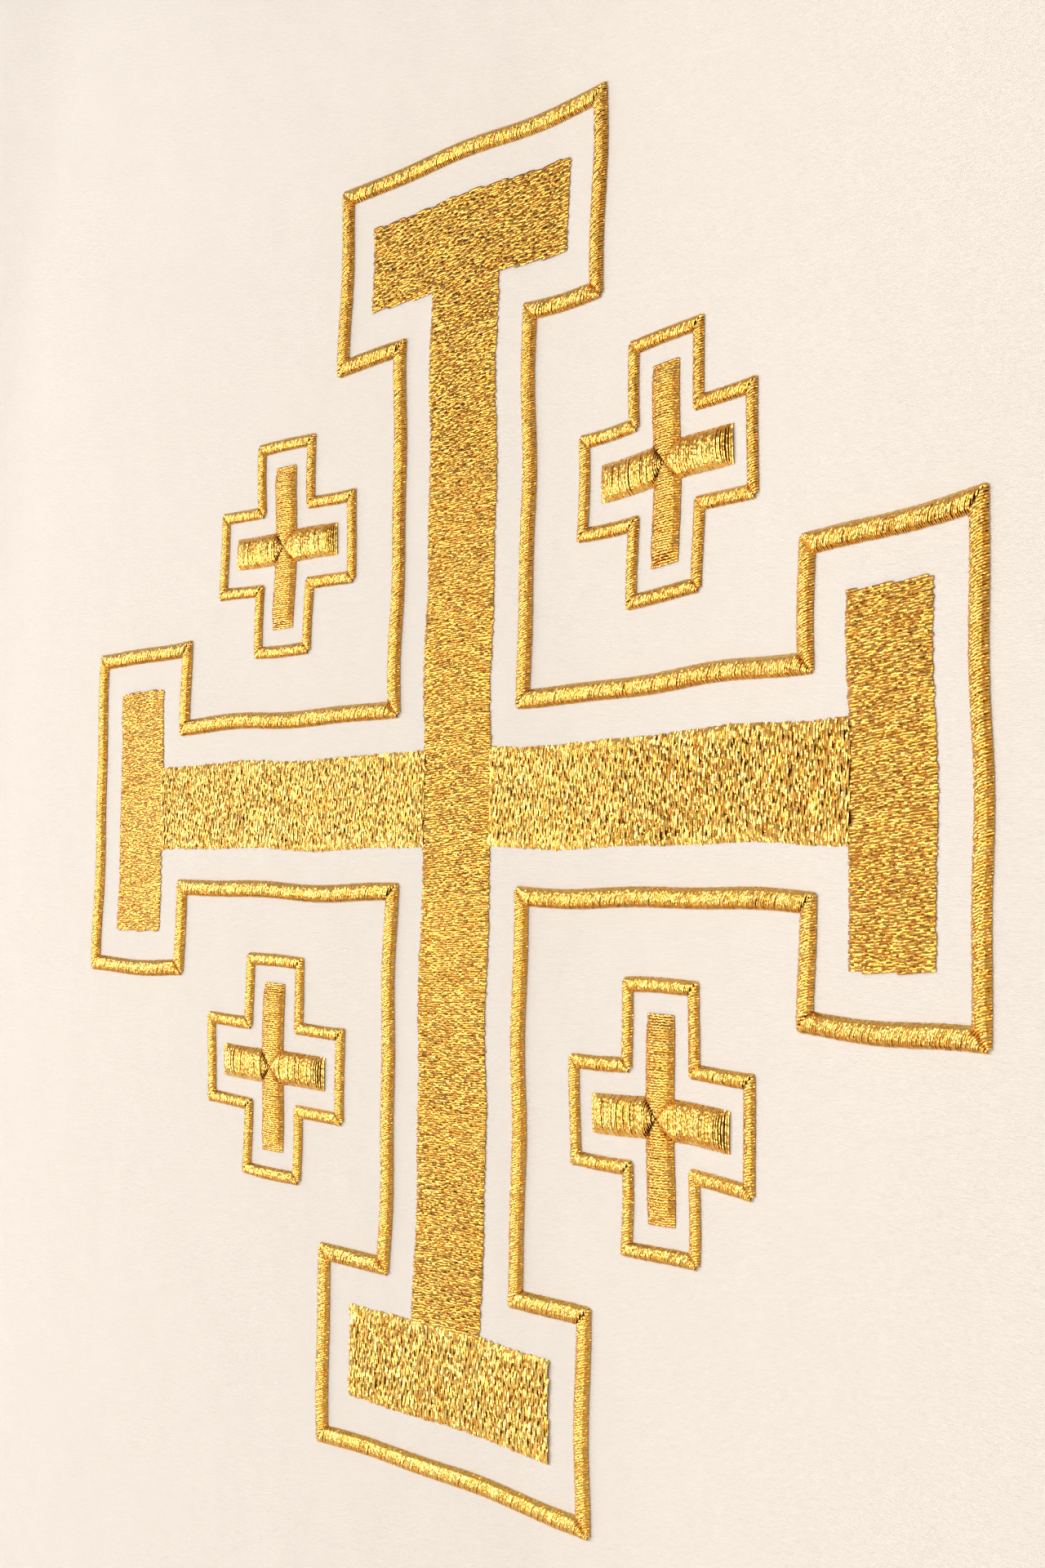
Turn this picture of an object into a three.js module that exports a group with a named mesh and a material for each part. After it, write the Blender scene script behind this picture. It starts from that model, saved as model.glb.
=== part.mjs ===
// A Gothic chasuble, filled out as it is worn, with an embroidered Jerusalem cross on its front.
// Millimetres, +Z up. The front faces -Y and the wearer's left hand is at +X.
// The origin lies between the shoulders, level with the top of the shoulder seams.
import * as THREE from 'three';

// Cloth and seams
const CLOTH = 1.6;
const SEAM_GAP = 0.3;
const BAND_THICKNESS = 2.4;
const BAND_PROUD = 0.5;
const BAND_LEVEL = -0.04;
const BAND_END_LEVEL = -0.0005;
const HEM_LEVEL = 1;

// Facets of one panel, and of the neck band
const ACROSS = 50;
const DOWN = 21;
const BAND_AROUND = 40;
const BAND_STEPS = 2;

// Fine steps of the arc lengths, slopes and searches that place points on the cloth
const ARC_STEPS = 90;
const SIDEWAYS = Math.PI / 2 - 1e-9;
const SLOPE_STEP = 1e-3;
const SEARCH_ROUNDS = 12;

// The cloth hangs in rings from the neck to the hem. Each row gives a ring's half width at the
// shoulder seam, its reach to the front and to the back, its height at those three places,
// how square its corners are (2 is an ellipse), and how broad the low middle of its fall is.
const RINGS = [
  { level: -0.05, side: 70, front: 73, back: 58, zSide: 5, zFront: -70, zBack: -8, square: 2.0, fall: 1.30 },
  { level: 0.00, side: 80, front: 86, back: 70, zSide: 0, zFront: -88, zBack: -20, square: 2.0, fall: 1.30 },
  { level: 0.06, side: 108, front: 108, back: 90, zSide: -8, zFront: -112, zBack: -38, square: 2.1, fall: 1.30 },
  { level: 0.12, side: 146, front: 127, back: 108, zSide: -20, zFront: -148, zBack: -66, square: 2.4, fall: 1.30 },
  { level: 0.20, side: 197, front: 143, back: 128, zSide: -40, zFront: -207, zBack: -118, square: 3.0, fall: 1.30 },
  { level: 0.28, side: 243, front: 149, back: 141, zSide: -70, zFront: -277, zBack: -186, square: 3.6, fall: 1.30 },
  { level: 0.36, side: 277, front: 150, back: 148, zSide: -116, zFront: -357, zBack: -268, square: 4.0, fall: 1.32 },
  { level: 0.44, side: 299, front: 150, back: 151, zSide: -180, zFront: -443, zBack: -358, square: 4.2, fall: 1.36 },
  { level: 0.54, side: 316, front: 150, back: 154, zSide: -270, zFront: -560, zBack: -482, square: 4.2, fall: 1.44 },
  { level: 0.66, side: 330, front: 151, back: 160, zSide: -380, zFront: -710, zBack: -646, square: 4.0, fall: 1.56 },
  { level: 0.78, side: 340, front: 158, back: 172, zSide: -482, zFront: -880, zBack: -830, square: 3.6, fall: 1.70 },
  { level: 0.90, side: 346, front: 170, back: 188, zSide: -568, zFront: -1060, zBack: -1026, square: 3.2, fall: 1.84 },
  { level: 1.00, side: 349, front: 182, back: 202, zSide: -635, zFront: -1215, zBack: -1200, square: 3.0, fall: 1.95 },
];

// Soft folds run down from the shoulders. "at" is the place across a panel, -1 and 1 being the
// seams, "width" the half width there, "height" and "hem" how far the cloth stands out at the
// chest and at the hem, and "from" and "full" the levels where the fold begins and is full.
const FRONT_FOLDS = [
  { at: -0.87, width: 0.13, height: 8, hem: 30, from: 0.34, full: 0.80 },
  { at: -0.69, width: 0.22, height: 26, hem: 40, from: 0.12, full: 0.34 },
  { at: -0.55, width: 0.11, height: -4, hem: -26, from: 0.55, full: 1.00 },
  { at: -0.42, width: 0.14, height: 4, hem: 40, from: 0.64, full: 1.05 },
  { at: -0.27, width: 0.12, height: -2, hem: -24, from: 0.68, full: 1.00 },
  { at: -0.14, width: 0.14, height: 2, hem: 34, from: 0.66, full: 1.00 },
  { at: 0.02, width: 0.13, height: -2, hem: -26, from: 0.68, full: 1.00 },
  { at: 0.17, width: 0.14, height: 3, hem: 38, from: 0.64, full: 1.05 },
  { at: 0.31, width: 0.12, height: -3, hem: -30, from: 0.66, full: 1.00 },
  { at: 0.66, width: 0.62, height: 54, hem: 30, from: 0.10, full: 0.40 },
  { at: 0.46, width: 0.12, height: 2, hem: 26, from: 0.62, full: 1.00 },
  { at: 0.61, width: 0.12, height: -3, hem: -34, from: 0.56, full: 0.96 },
  { at: 0.77, width: 0.14, height: 10, hem: 30, from: 0.40, full: 0.80 },
  { at: 0.90, width: 0.09, height: -6, hem: -16, from: 0.45, full: 0.90 },
];
const BACK_FOLDS = [
  { at: -0.86, width: 0.13, height: 12, hem: 34, from: 0.30, full: 0.74 },
  { at: -0.68, width: 0.15, height: -6, hem: -22, from: 0.42, full: 0.90 },
  { at: -0.52, width: 0.17, height: 16, hem: 40, from: 0.24, full: 0.62 },
  { at: -0.33, width: 0.14, height: -6, hem: -28, from: 0.40, full: 0.92 },
  { at: -0.16, width: 0.15, height: 10, hem: 38, from: 0.36, full: 0.86 },
  { at: 0.01, width: 0.13, height: -5, hem: -24, from: 0.46, full: 0.94 },
  { at: 0.19, width: 0.16, height: 14, hem: 42, from: 0.28, full: 0.78 },
  { at: 0.37, width: 0.13, height: -7, hem: -30, from: 0.42, full: 0.90 },
  { at: 0.53, width: 0.15, height: 12, hem: 36, from: 0.26, full: 0.70 },
  { at: 0.70, width: 0.13, height: -8, hem: -26, from: 0.40, full: 0.88 },
  { at: 0.86, width: 0.13, height: 14, hem: 36, from: 0.28, full: 0.74 },
];
const HEM_GROWTH_FROM = 0.5;
const SEAM_FADE = 8;

// The cross: half sizes from its centre, a T bar at the end of each arm and a cord all round
const CROSS_HEIGHT = -465;
const CHEST_LEVEL = 0.45;
const FACET = 20;
const LIFT = 0.3;
const CORD = { width: 3.5, edge: 0.5, crest: 1.7 };
const FILL = { end: 128.4, barDepth: 19.0, barHalf: 30.2, stemHalf: 9.95, edge: 0.7, crest: 0.7 };
const CORD_PATH = { end: 138.2, barDepth: 39.0, barHalf: 39.6, stemHalf: 19.9 };
const SMALL_OFFSET = 60.3;
const SMALL_BAR = { half: 18.8, stemHalf: 3.65, edge: 0.6, crest: 2.0 };
const SMALL_CORD_PATH = { half: 23.8, stemHalf: 9.05 };
const SMALL_CROSSES = [
  { name: 'upper_right', x: 1, z: 1 },
  { name: 'upper_left', x: -1, z: 1 },
  { name: 'lower_left', x: -1, z: -1 },
  { name: 'lower_right', x: 1, z: -1 },
];

const FRONT = { facing: -1, reach: 'front', height: 'zFront', folds: FRONT_FOLDS };
const BACK = { facing: 1, reach: 'back', height: 'zBack', folds: BACK_FOLDS };

function ease(from, to, value) {
  const part = Math.min(1, Math.max(0, (value - from) / (to - from)));
  return part * part * (3 - 2 * part);
}

// Slope of one column of the ring table at a row, from the rows on both sides of it
function columnSlope(row, column) {
  const before = RINGS[Math.max(0, row - 1)];
  const after = RINGS[Math.min(RINGS.length - 1, row + 1)];
  return (after[column] - before[column]) / (after.level - before.level);
}

// One ring between two rows of the table, on a smooth curve through them
function ringAt(level) {
  let row = 0;
  while (row < RINGS.length - 2 && level > RINGS[row + 1].level) {
    row += 1;
  }
  const [above, below] = [RINGS[row], RINGS[row + 1]];
  const span = below.level - above.level;
  const part = (level - above.level) / span;
  const ring = { level };
  for (const column of Object.keys(above)) {
    if (column !== 'level') {
      const rise = below[column] - above[column];
      const slopeIn = columnSlope(row, column) * span;
      const slopeOut = columnSlope(row + 1, column) * span;
      const square = 3 * rise - 2 * slopeIn - slopeOut;
      const cube = slopeIn + slopeOut - 2 * rise;
      ring[column] = above[column] + part * (slopeIn + part * (square + part * cube));
    }
  }
  return ring;
}

// Distance from the ring's middle to its edge, in a direction turned from straight ahead
function ringRadius(ring, reach, turn) {
  const ahead = Math.cos(turn) / ring[reach];
  const aside = Math.sin(turn) / ring.side;
  return (ahead ** ring.square + aside ** ring.square) ** (-1 / ring.square);
}

// Direction of the point that lies a given part of the way along the ring, from the middle of
// a panel (0) to the shoulder seam (1)
function turnAt(ring, reach, part) {
  const lengths = [0];
  let [lastX, lastY] = [0, ring[reach]];
  for (let step = 1; step <= ARC_STEPS; step += 1) {
    const turn = (step / ARC_STEPS) * SIDEWAYS;
    const radius = ringRadius(ring, reach, turn);
    const [x, y] = [radius * Math.sin(turn), radius * Math.cos(turn)];
    lengths.push(lengths[step - 1] + Math.hypot(x - lastX, y - lastY));
    [lastX, lastY] = [x, y];
  }
  const wanted = part * lengths[ARC_STEPS];
  let step = 0;
  while (step < ARC_STEPS - 1 && lengths[step + 1] < wanted) {
    step += 1;
  }
  const rest = (wanted - lengths[step]) / (lengths[step + 1] - lengths[step]);
  return ((step + rest) / ARC_STEPS) * SIDEWAYS;
}

function foldHeight(folds, across, level) {
  let height = 0;
  for (const fold of folds) {
    const away = Math.abs(across - fold.at) / fold.width;
    if (away < 1) {
      const growth = ease(HEM_GROWTH_FROM, HEM_LEVEL, level);
      const size = fold.height + (fold.hem - fold.height) * growth;
      height += size * ease(fold.from, fold.full, level) * Math.cos((away * Math.PI) / 2) ** 2;
    }
  }
  return height * (1 - Math.abs(across) ** SEAM_FADE);
}

// Outer face of the cloth at a place across a panel (-1 to 1) and a level (0 neck, 1 hem)
function clothPoint(panel, across, level, gap = SEAM_GAP) {
  const ring = ringAt(level);
  const part = Math.abs(across);
  const turn = turnAt(ring, panel.reach, part);
  const radius = ringRadius(ring, panel.reach, turn);
  const hand = Math.sign(across);
  const [aside, ahead] = [radius * Math.sin(turn), radius * Math.cos(turn)];
  const outward = new THREE.Vector2(
    (aside / ring.side) ** (ring.square - 1) / ring.side,
    (ahead / ring[panel.reach]) ** (ring.square - 1) / ring[panel.reach],
  ).normalize();
  const fold = foldHeight(panel.folds, across, level);
  const fall = 0.5 + 0.5 * Math.cos(Math.PI * part ** ring.fall);
  return new THREE.Vector3(
    hand * (aside + fold * outward.x),
    panel.facing * (ahead + fold * outward.y + gap / 2),
    ring.zSide + (ring[panel.height] - ring.zSide) * fall,
  );
}

// Outward direction of the cloth. On the shoulder seam it has no part towards front or back,
// so that the edges of both panels meet face to face.
function clothNormal(panel, across, level) {
  const [left, right] = [Math.max(-1, across - SLOPE_STEP), Math.min(1, across + SLOPE_STEP)];
  const above = Math.max(BAND_LEVEL, level - SLOPE_STEP);
  const below = Math.min(HEM_LEVEL, level + SLOPE_STEP);
  const along = clothPoint(panel, right, level).sub(clothPoint(panel, left, level));
  const down = clothPoint(panel, across, below).sub(clothPoint(panel, across, above));
  const normal = along.cross(down).multiplyScalar(panel.facing);
  if (Math.abs(across) === 1) {
    normal.y = 0;
  }
  return normal.normalize();
}

// A closed solid from a list of points and of faces with three or four corners each
function solid(points, faces) {
  const corners = [];
  for (const face of faces) {
    corners.push(face[0], face[1], face[2]);
    if (face.length === 4) {
      corners.push(face[0], face[2], face[3]);
    }
  }
  const geometry = new THREE.BufferGeometry();
  const places = points.flatMap((point) => [point.x, point.y, point.z]);
  geometry.setAttribute('position', new THREE.Float32BufferAttribute(places, 3));
  geometry.setIndex(corners);
  geometry.computeVertexNormals();
  return geometry;
}

// A wall of cloth between an outer and an inner sheet of rows of points
function wall(outer, inner) {
  const rows = outer.length;
  const columns = outer[0].length;
  const points = [...outer.flat(), ...inner.flat()];
  const at = (row, column) => row * columns + column;
  const under = (row, column) => rows * columns + at(row, column);
  const faces = [];
  for (let row = 0; row < rows - 1; row += 1) {
    for (let column = 0; column < columns - 1; column += 1) {
      const [a, b] = [[row, column], [row, column + 1]];
      const [c, d] = [[row + 1, column + 1], [row + 1, column]];
      faces.push([at(...a), at(...d), at(...c), at(...b)]);
      faces.push([under(...a), under(...b), under(...c), under(...d)]);
    }
    const last = columns - 1;
    faces.push([at(row, 0), under(row, 0), under(row + 1, 0), at(row + 1, 0)]);
    faces.push([at(row, last), at(row + 1, last), under(row + 1, last), under(row, last)]);
  }
  for (let column = 0; column < columns - 1; column += 1) {
    const last = rows - 1;
    faces.push([at(0, column), at(0, column + 1), under(0, column + 1), under(0, column)]);
    faces.push([at(last, column), under(last, column), under(last, column + 1), at(last, column + 1)]);
  }
  return solid(points, faces);
}

// Front or back: one piece of cloth from the neckline to the hem and from seam to seam
function panelWall(panel) {
  const outer = [];
  const inner = [];
  for (let row = 0; row <= DOWN; row += 1) {
    const level = HEM_LEVEL * (row / DOWN);
    const places = Array.from({ length: ACROSS + 1 }, (_, i) => panel.facing * (1 - (2 * i) / ACROSS));
    const face = places.map((across) => clothPoint(panel, across, level));
    outer.push(face);
    inner.push(face.map((point, i) => (
      clothNormal(panel, places[i], level).multiplyScalar(-CLOTH).add(point)
    )));
  }
  return wall(outer, inner);
}

// The band is one loop: its section runs round the neckline, a seam gap above the panels
function neckBand() {
  const sheetAt = (shift) => {
    const sheet = [];
    for (let step = 0; step <= BAND_STEPS; step += 1) {
      const level = BAND_LEVEL + (BAND_END_LEVEL - BAND_LEVEL) * (step / BAND_STEPS);
      const row = [];
      for (const panel of [FRONT, BACK]) {
        for (let i = 0; i < BAND_AROUND / 2; i += 1) {
          const across = panel.facing * (1 - (4 * i) / BAND_AROUND);
          const normal = clothNormal(panel, across, level);
          row.push(normal.multiplyScalar(shift).add(clothPoint(panel, across, level, 0)));
        }
      }
      sheet.push(row);
    }
    return sheet;
  };
  const outer = sheetAt(BAND_PROUD);
  const inner = sheetAt(BAND_PROUD - BAND_THICKNESS).reverse();
  const loop = [...outer, ...inner];
  const points = loop.flat();
  const faces = [];
  for (let row = 0; row < loop.length; row += 1) {
    const next = (row + 1) % loop.length;
    for (let i = 0; i < BAND_AROUND; i += 1) {
      const j = (i + 1) % BAND_AROUND;
      const [here, below] = [row * BAND_AROUND, next * BAND_AROUND];
      faces.push([here + i, below + i, below + j, here + j]);
    }
  }
  return solid(points, faces);
}

// Point on the front panel that is seen at a given x and z, lifted off the cloth
function onFront(x, z, lift) {
  let across = 0;
  let level = CHEST_LEVEL;
  for (let round = 0; round < SEARCH_ROUNDS; round += 1) {
    const here = clothPoint(FRONT, across, level);
    const aside = clothPoint(FRONT, across + SLOPE_STEP, level).sub(here);
    const down = clothPoint(FRONT, across, level + SLOPE_STEP).sub(here);
    aside.divideScalar(SLOPE_STEP);
    down.divideScalar(SLOPE_STEP);
    const [missX, missZ] = [x - here.x, z - here.z];
    const scale = aside.x * down.z - aside.z * down.x;
    across += (missX * down.z - missZ * down.x) / scale;
    level += (aside.x * missZ - aside.z * missX) / scale;
  }
  const normal = clothNormal(FRONT, across, level);
  return clothPoint(FRONT, across, level).addScaledVector(normal, lift);
}

// Places along one line: every named place, and no step longer than a facet
function divisions(places) {
  const sorted = [...new Set(places.flatMap((place) => [-place, place]))].sort((a, b) => a - b);
  const all = [sorted[0]];
  for (let i = 1; i < sorted.length; i += 1) {
    const steps = Math.ceil((sorted[i] - sorted[i - 1]) / FACET);
    for (let step = 1; step <= steps; step += 1) {
      all.push(sorted[i - 1] + ((sorted[i] - sorted[i - 1]) * step) / steps);
    }
  }
  return all;
}

// Stitched shape on the front: the cells of a grid that lie inside it, as one raised solid.
// "crestAt" says where the stitches stand highest.
function stitchedSolid(centre, places, isInside, crestAt, heights) {
  const lines = divisions(places);
  const points = [];
  const faces = [];
  const numbers = new Map();
  const cellInside = (i, j) => (
    i >= 0 && j >= 0 && i < lines.length - 1 && j < lines.length - 1
    && isInside((lines[i] + lines[i + 1]) / 2, (lines[j] + lines[j + 1]) / 2)
  );
  const corner = (i, j, top) => {
    const key = `${i} ${j} ${top}`;
    if (!numbers.has(key)) {
      const height = crestAt(lines[i], lines[j]) ? heights.crest : heights.edge;
      const lift = LIFT + (top ? height : 0);
      numbers.set(key, points.length);
      points.push(onFront(centre.x + lines[i], centre.z + lines[j], lift));
    }
    return numbers.get(key);
  };
  const side = (i, j, m, n) => {
    faces.push([corner(i, j, true), corner(i, j, false), corner(m, n, false), corner(m, n, true)]);
  };
  for (let i = 0; i < lines.length - 1; i += 1) {
    for (let j = 0; j < lines.length - 1; j += 1) {
      if (cellInside(i, j)) {
        const ring = [[i, j], [i + 1, j], [i + 1, j + 1], [i, j + 1]];
        faces.push(ring.map(([m, n]) => corner(m, n, true)));
        faces.push(ring.map(([m, n]) => corner(m, n, false)).reverse());
        if (!cellInside(i, j - 1)) side(i, j, i + 1, j);
        if (!cellInside(i + 1, j)) side(i + 1, j, i + 1, j + 1);
        if (!cellInside(i, j + 1)) side(i + 1, j + 1, i, j + 1);
        if (!cellInside(i - 1, j)) side(i, j + 1, i, j);
      }
    }
  }
  return solid(points, faces);
}

// Whether a place lies in a cross whose arms end in T bars, grown on all sides
function inPotentCross(size, x, z, grow) {
  const [far, near] = [Math.max(Math.abs(x), Math.abs(z)), Math.min(Math.abs(x), Math.abs(z))];
  const inStem = near <= size.stemHalf + grow && far <= size.end + grow;
  const fromEnd = size.end - far;
  const inBar = near <= size.barHalf + grow && fromEnd >= -grow && fromEnd <= size.barDepth + grow;
  return inStem || inBar;
}

function inPlainCross(size, x, z, grow) {
  const [far, near] = [Math.max(Math.abs(x), Math.abs(z)), Math.min(Math.abs(x), Math.abs(z))];
  return near <= size.stemHalf + grow && far <= size.half + grow;
}

// Raised cord that runs along the edge of a shape
function cordSolid(centre, size, steps, inShape) {
  const half = CORD.width / 2;
  const places = steps.flatMap((place) => [place - half, place, place + half]);
  const isInside = (x, z) => inShape(size, x, z, half) && !inShape(size, x, z, -half);
  const slack = 0.01;
  const onPath = (x, z) => inShape(size, x, z, slack) && !inShape(size, x, z, -slack);
  return stitchedSolid(centre, places, isInside, onPath, CORD);
}

function potentCross(centre) {
  const places = [FILL.end, FILL.end - FILL.barDepth, FILL.barHalf, FILL.stemHalf];
  return stitchedSolid(centre, places, (x, z) => inPotentCross(FILL, x, z, 0), () => true, FILL);
}

function potentCord(centre) {
  const size = CORD_PATH;
  const steps = [size.end, size.end - size.barDepth, size.barHalf, size.stemHalf];
  return cordSolid(centre, size, steps, inPotentCross);
}

function smallCross(centre) {
  const size = SMALL_BAR;
  const places = [0, size.stemHalf, size.half];
  const onCrest = (x, z) => Math.min(Math.abs(x), Math.abs(z)) < size.stemHalf / 2;
  return stitchedSolid(centre, places, (x, z) => inPlainCross(size, x, z, 0), onCrest, size);
}

function smallCord(centre) {
  const size = SMALL_CORD_PATH;
  return cordSolid(centre, size, [size.stemHalf, size.half], inPlainCross);
}

const cream = () => new THREE.MeshStandardMaterial({ color: 0xefe4d8, roughness: 0.7, metalness: 0 });
const gold = () => new THREE.MeshStandardMaterial({ color: 0xd9a441, roughness: 0.4, metalness: 0.6 });

const chasuble = new THREE.Group();

function add(name, geometry, material) {
  const mesh = new THREE.Mesh(geometry, material);
  mesh.name = name;
  chasuble.add(mesh);
}

add('front_panel', panelWall(FRONT), cream());
add('back_panel', panelWall(BACK), cream());
add('neck_band', neckBand(), cream());

const crossCentre = { x: 0, z: CROSS_HEIGHT };
add('potent_cross', potentCross(crossCentre), gold());
add('potent_cord', potentCord(crossCentre), gold());
for (const small of SMALL_CROSSES) {
  const centre = { x: small.x * SMALL_OFFSET, z: CROSS_HEIGHT + small.z * SMALL_OFFSET };
  add(`small_cross_${small.name}`, smallCross(centre), gold());
  add(`small_cord_${small.name}`, smallCord(centre), gold());
}

export default chasuble;
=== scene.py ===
"""A cream Gothic chasuble, filled out as it is worn, with a gold embroidered Jerusalem cross.

Blender works in metres with +Z up. The cloth's own sizes are given in millimetres. The front
faces -Y, and the origin lies between the shoulders, level with the top of the shoulder seams.
"""

import logging
import math
from dataclasses import dataclass, field, fields
from enum import Enum

import bpy
import numpy as np
from mathutils import Matrix, Vector


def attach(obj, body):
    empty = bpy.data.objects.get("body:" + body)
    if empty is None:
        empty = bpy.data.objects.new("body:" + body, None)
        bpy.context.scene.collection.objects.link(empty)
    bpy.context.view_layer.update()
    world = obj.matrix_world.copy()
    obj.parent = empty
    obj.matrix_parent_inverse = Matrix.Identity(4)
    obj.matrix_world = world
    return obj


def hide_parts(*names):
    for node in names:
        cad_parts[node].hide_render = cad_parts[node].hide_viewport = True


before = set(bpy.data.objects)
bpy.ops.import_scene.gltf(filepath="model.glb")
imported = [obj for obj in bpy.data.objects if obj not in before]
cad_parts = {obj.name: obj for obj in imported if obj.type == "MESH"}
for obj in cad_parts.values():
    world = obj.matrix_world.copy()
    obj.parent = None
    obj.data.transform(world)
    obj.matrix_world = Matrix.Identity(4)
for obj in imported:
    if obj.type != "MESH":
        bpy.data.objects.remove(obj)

Array = np.ndarray
Pair = tuple[float, float]
Triple = tuple[float, float, float]
Color = tuple[float, float, float, float]
Line = tuple[Pair, Pair]
Tree = bpy.types.NodeTree
Node = bpy.types.Node
Socket = bpy.types.NodeSocket
Mesh = bpy.types.Mesh
Piece = bpy.types.Object
Material = bpy.types.Material

MM = 0.001
PER_METRE = 1000
# A circle with three corners and a radius of 1 is 1.73 wide and 1.5 high. These make it 1 and 1.
PROFILE_WIDTH = 0.577
PROFILE_HEIGHT = 0.667
LOG = logging.getLogger("chasuble")


@dataclass(frozen=True)
class Ring:
    """One level of the hanging cloth, with its reach and height at the seam, front and back.

    A square of 2 makes an ellipse and more makes fuller corners. The fall says how far towards
    the seam the cloth stays low.
    """

    level: float
    side: float
    front: float
    back: float
    z_side: float
    z_front: float
    z_back: float
    square: float
    fall: float


@dataclass(frozen=True)
class Fold:
    """A soft fold that runs down a panel. Places across a panel go from -1 to 1, seam to seam.

    The fold grows from the start level to the full one, and has its own height at the hem.
    """

    at: float
    width: float
    height: float
    hem: float
    start: float
    full: float


@dataclass(frozen=True)
class Crease:
    """A short soft ridge, or a trough where the height is negative, between two places."""

    across: Pair
    level: Pair
    width: float
    height: float


class Side(Enum):
    """The two panels, with the way each one faces along Y."""

    FRONT = -1
    BACK = 1


RINGS = (
    Ring(-0.05, 70, 73, 58, 5, -70, -8, 2.0, 1.30),
    Ring(0.00, 80, 86, 70, 0, -88, -20, 2.0, 1.30),
    Ring(0.06, 108, 108, 90, -8, -112, -38, 2.1, 1.30),
    Ring(0.12, 146, 127, 108, -20, -148, -66, 2.4, 1.30),
    Ring(0.20, 197, 143, 128, -40, -207, -118, 3.0, 1.30),
    Ring(0.28, 243, 149, 141, -70, -277, -186, 3.6, 1.30),
    Ring(0.36, 277, 150, 148, -116, -357, -268, 4.0, 1.32),
    Ring(0.44, 299, 150, 151, -180, -443, -358, 4.2, 1.36),
    Ring(0.54, 316, 150, 154, -270, -560, -482, 4.2, 1.44),
    Ring(0.66, 330, 151, 160, -380, -710, -646, 4.0, 1.56),
    Ring(0.78, 340, 158, 172, -482, -880, -830, 3.6, 1.70),
    Ring(0.90, 346, 170, 188, -568, -1060, -1026, 3.2, 1.84),
    Ring(1.00, 349, 182, 202, -635, -1215, -1200, 3.0, 1.95),
)
FRONT_FOLDS = (
    Fold(-0.87, 0.13, 8, 30, 0.34, 0.80),
    Fold(-0.69, 0.22, 26, 40, 0.12, 0.34),
    Fold(-0.55, 0.11, -4, -26, 0.55, 1.00),
    Fold(-0.42, 0.14, 4, 40, 0.64, 1.05),
    Fold(-0.27, 0.12, -2, -24, 0.68, 1.00),
    Fold(-0.14, 0.14, 2, 34, 0.66, 1.00),
    Fold(0.02, 0.13, -2, -26, 0.68, 1.00),
    Fold(0.17, 0.14, 3, 38, 0.64, 1.05),
    Fold(0.31, 0.12, -3, -30, 0.66, 1.00),
    Fold(0.66, 0.62, 54, 30, 0.10, 0.40),
    Fold(0.46, 0.12, 2, 26, 0.62, 1.00),
    Fold(0.61, 0.12, -3, -34, 0.56, 0.96),
    Fold(0.77, 0.14, 10, 30, 0.40, 0.80),
    Fold(0.90, 0.09, -6, -16, 0.45, 0.90),
)
BACK_FOLDS = (
    Fold(-0.86, 0.13, 12, 34, 0.30, 0.74),
    Fold(-0.68, 0.15, -6, -22, 0.42, 0.90),
    Fold(-0.52, 0.17, 16, 40, 0.24, 0.62),
    Fold(-0.33, 0.14, -6, -28, 0.40, 0.92),
    Fold(-0.16, 0.15, 10, 38, 0.36, 0.86),
    Fold(0.01, 0.13, -5, -24, 0.46, 0.94),
    Fold(0.19, 0.16, 14, 42, 0.28, 0.78),
    Fold(0.37, 0.13, -7, -30, 0.42, 0.90),
    Fold(0.53, 0.15, 12, 36, 0.26, 0.70),
    Fold(0.70, 0.13, -8, -26, 0.40, 0.88),
    Fold(0.86, 0.13, 14, 36, 0.28, 0.74),
)
FRONT_CREASES = (
    Crease((-0.30, -0.74), (0.05, 0.30), 24, 6.7),
    Crease((-0.50, -0.88), (0.06, 0.24), 20, -5.5),
    Crease((0.34, 0.80), (0.05, 0.24), 26, 7.6),
    Crease((0.56, 0.93), (0.08, 0.30), 18, -5.0),
    Crease((-0.16, -0.50), (0.02, 0.14), 16, 3.8),
    Crease((0.20, 0.46), (0.02, 0.12), 15, 3.4),
    Crease((-0.80, -0.94), (0.46, 0.72), 16, 7.1),
    Crease((-0.72, -0.60), (0.52, 0.86), 15, -6.3),
    Crease((0.70, 0.88), (0.50, 0.76), 17, 8.0),
    Crease((0.84, 0.70), (0.62, 0.92), 14, -6.7),
    Crease((-0.42, -0.22), (0.67, 0.92), 20, 7.0),
    Crease((-0.10, 0.03), (0.80, 0.99), 13, 5.5),
    Crease((0.35, 0.19), (0.71, 0.97), 18, -7.5),
    Crease((0.60, 0.49), (0.62, 0.87), 17, 7.6),
)
BACK_CREASES = (
    Crease((-0.24, -0.66), (0.03, 0.24), 24, 7.1),
    Crease((0.22, 0.70), (0.03, 0.26), 26, 6.7),
    Crease((-0.46, -0.86), (0.05, 0.20), 18, -5.0),
    Crease((0.44, 0.84), (0.06, 0.22), 19, -5.5),
    Crease((-0.14, 0.12), (0.10, 0.13), 20, 5.0),
    Crease((-0.20, 0.16), (0.19, 0.17), 22, -4.6),
    Crease((-0.90, -0.80), (0.40, 0.70), 16, 7.6),
    Crease((0.92, 0.80), (0.44, 0.72), 16, 7.1),
    Crease((-0.42, -0.40), (0.56, 0.90), 14, 6.7),
    Crease((-0.06, -0.10), (0.60, 0.96), 14, -6.3),
    Crease((0.28, 0.30), (0.58, 0.95), 13, 7.1),
    Crease((0.62, 0.60), (0.54, 0.88), 15, -6.7),
)


def ease(start: float, end: float, value: Array) -> Array:
    """Rises smoothly from 0 at the start to 1 at the end."""
    part = np.clip((value - start) / (end - start), 0, 1)
    return part * part * (3 - 2 * part)


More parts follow.
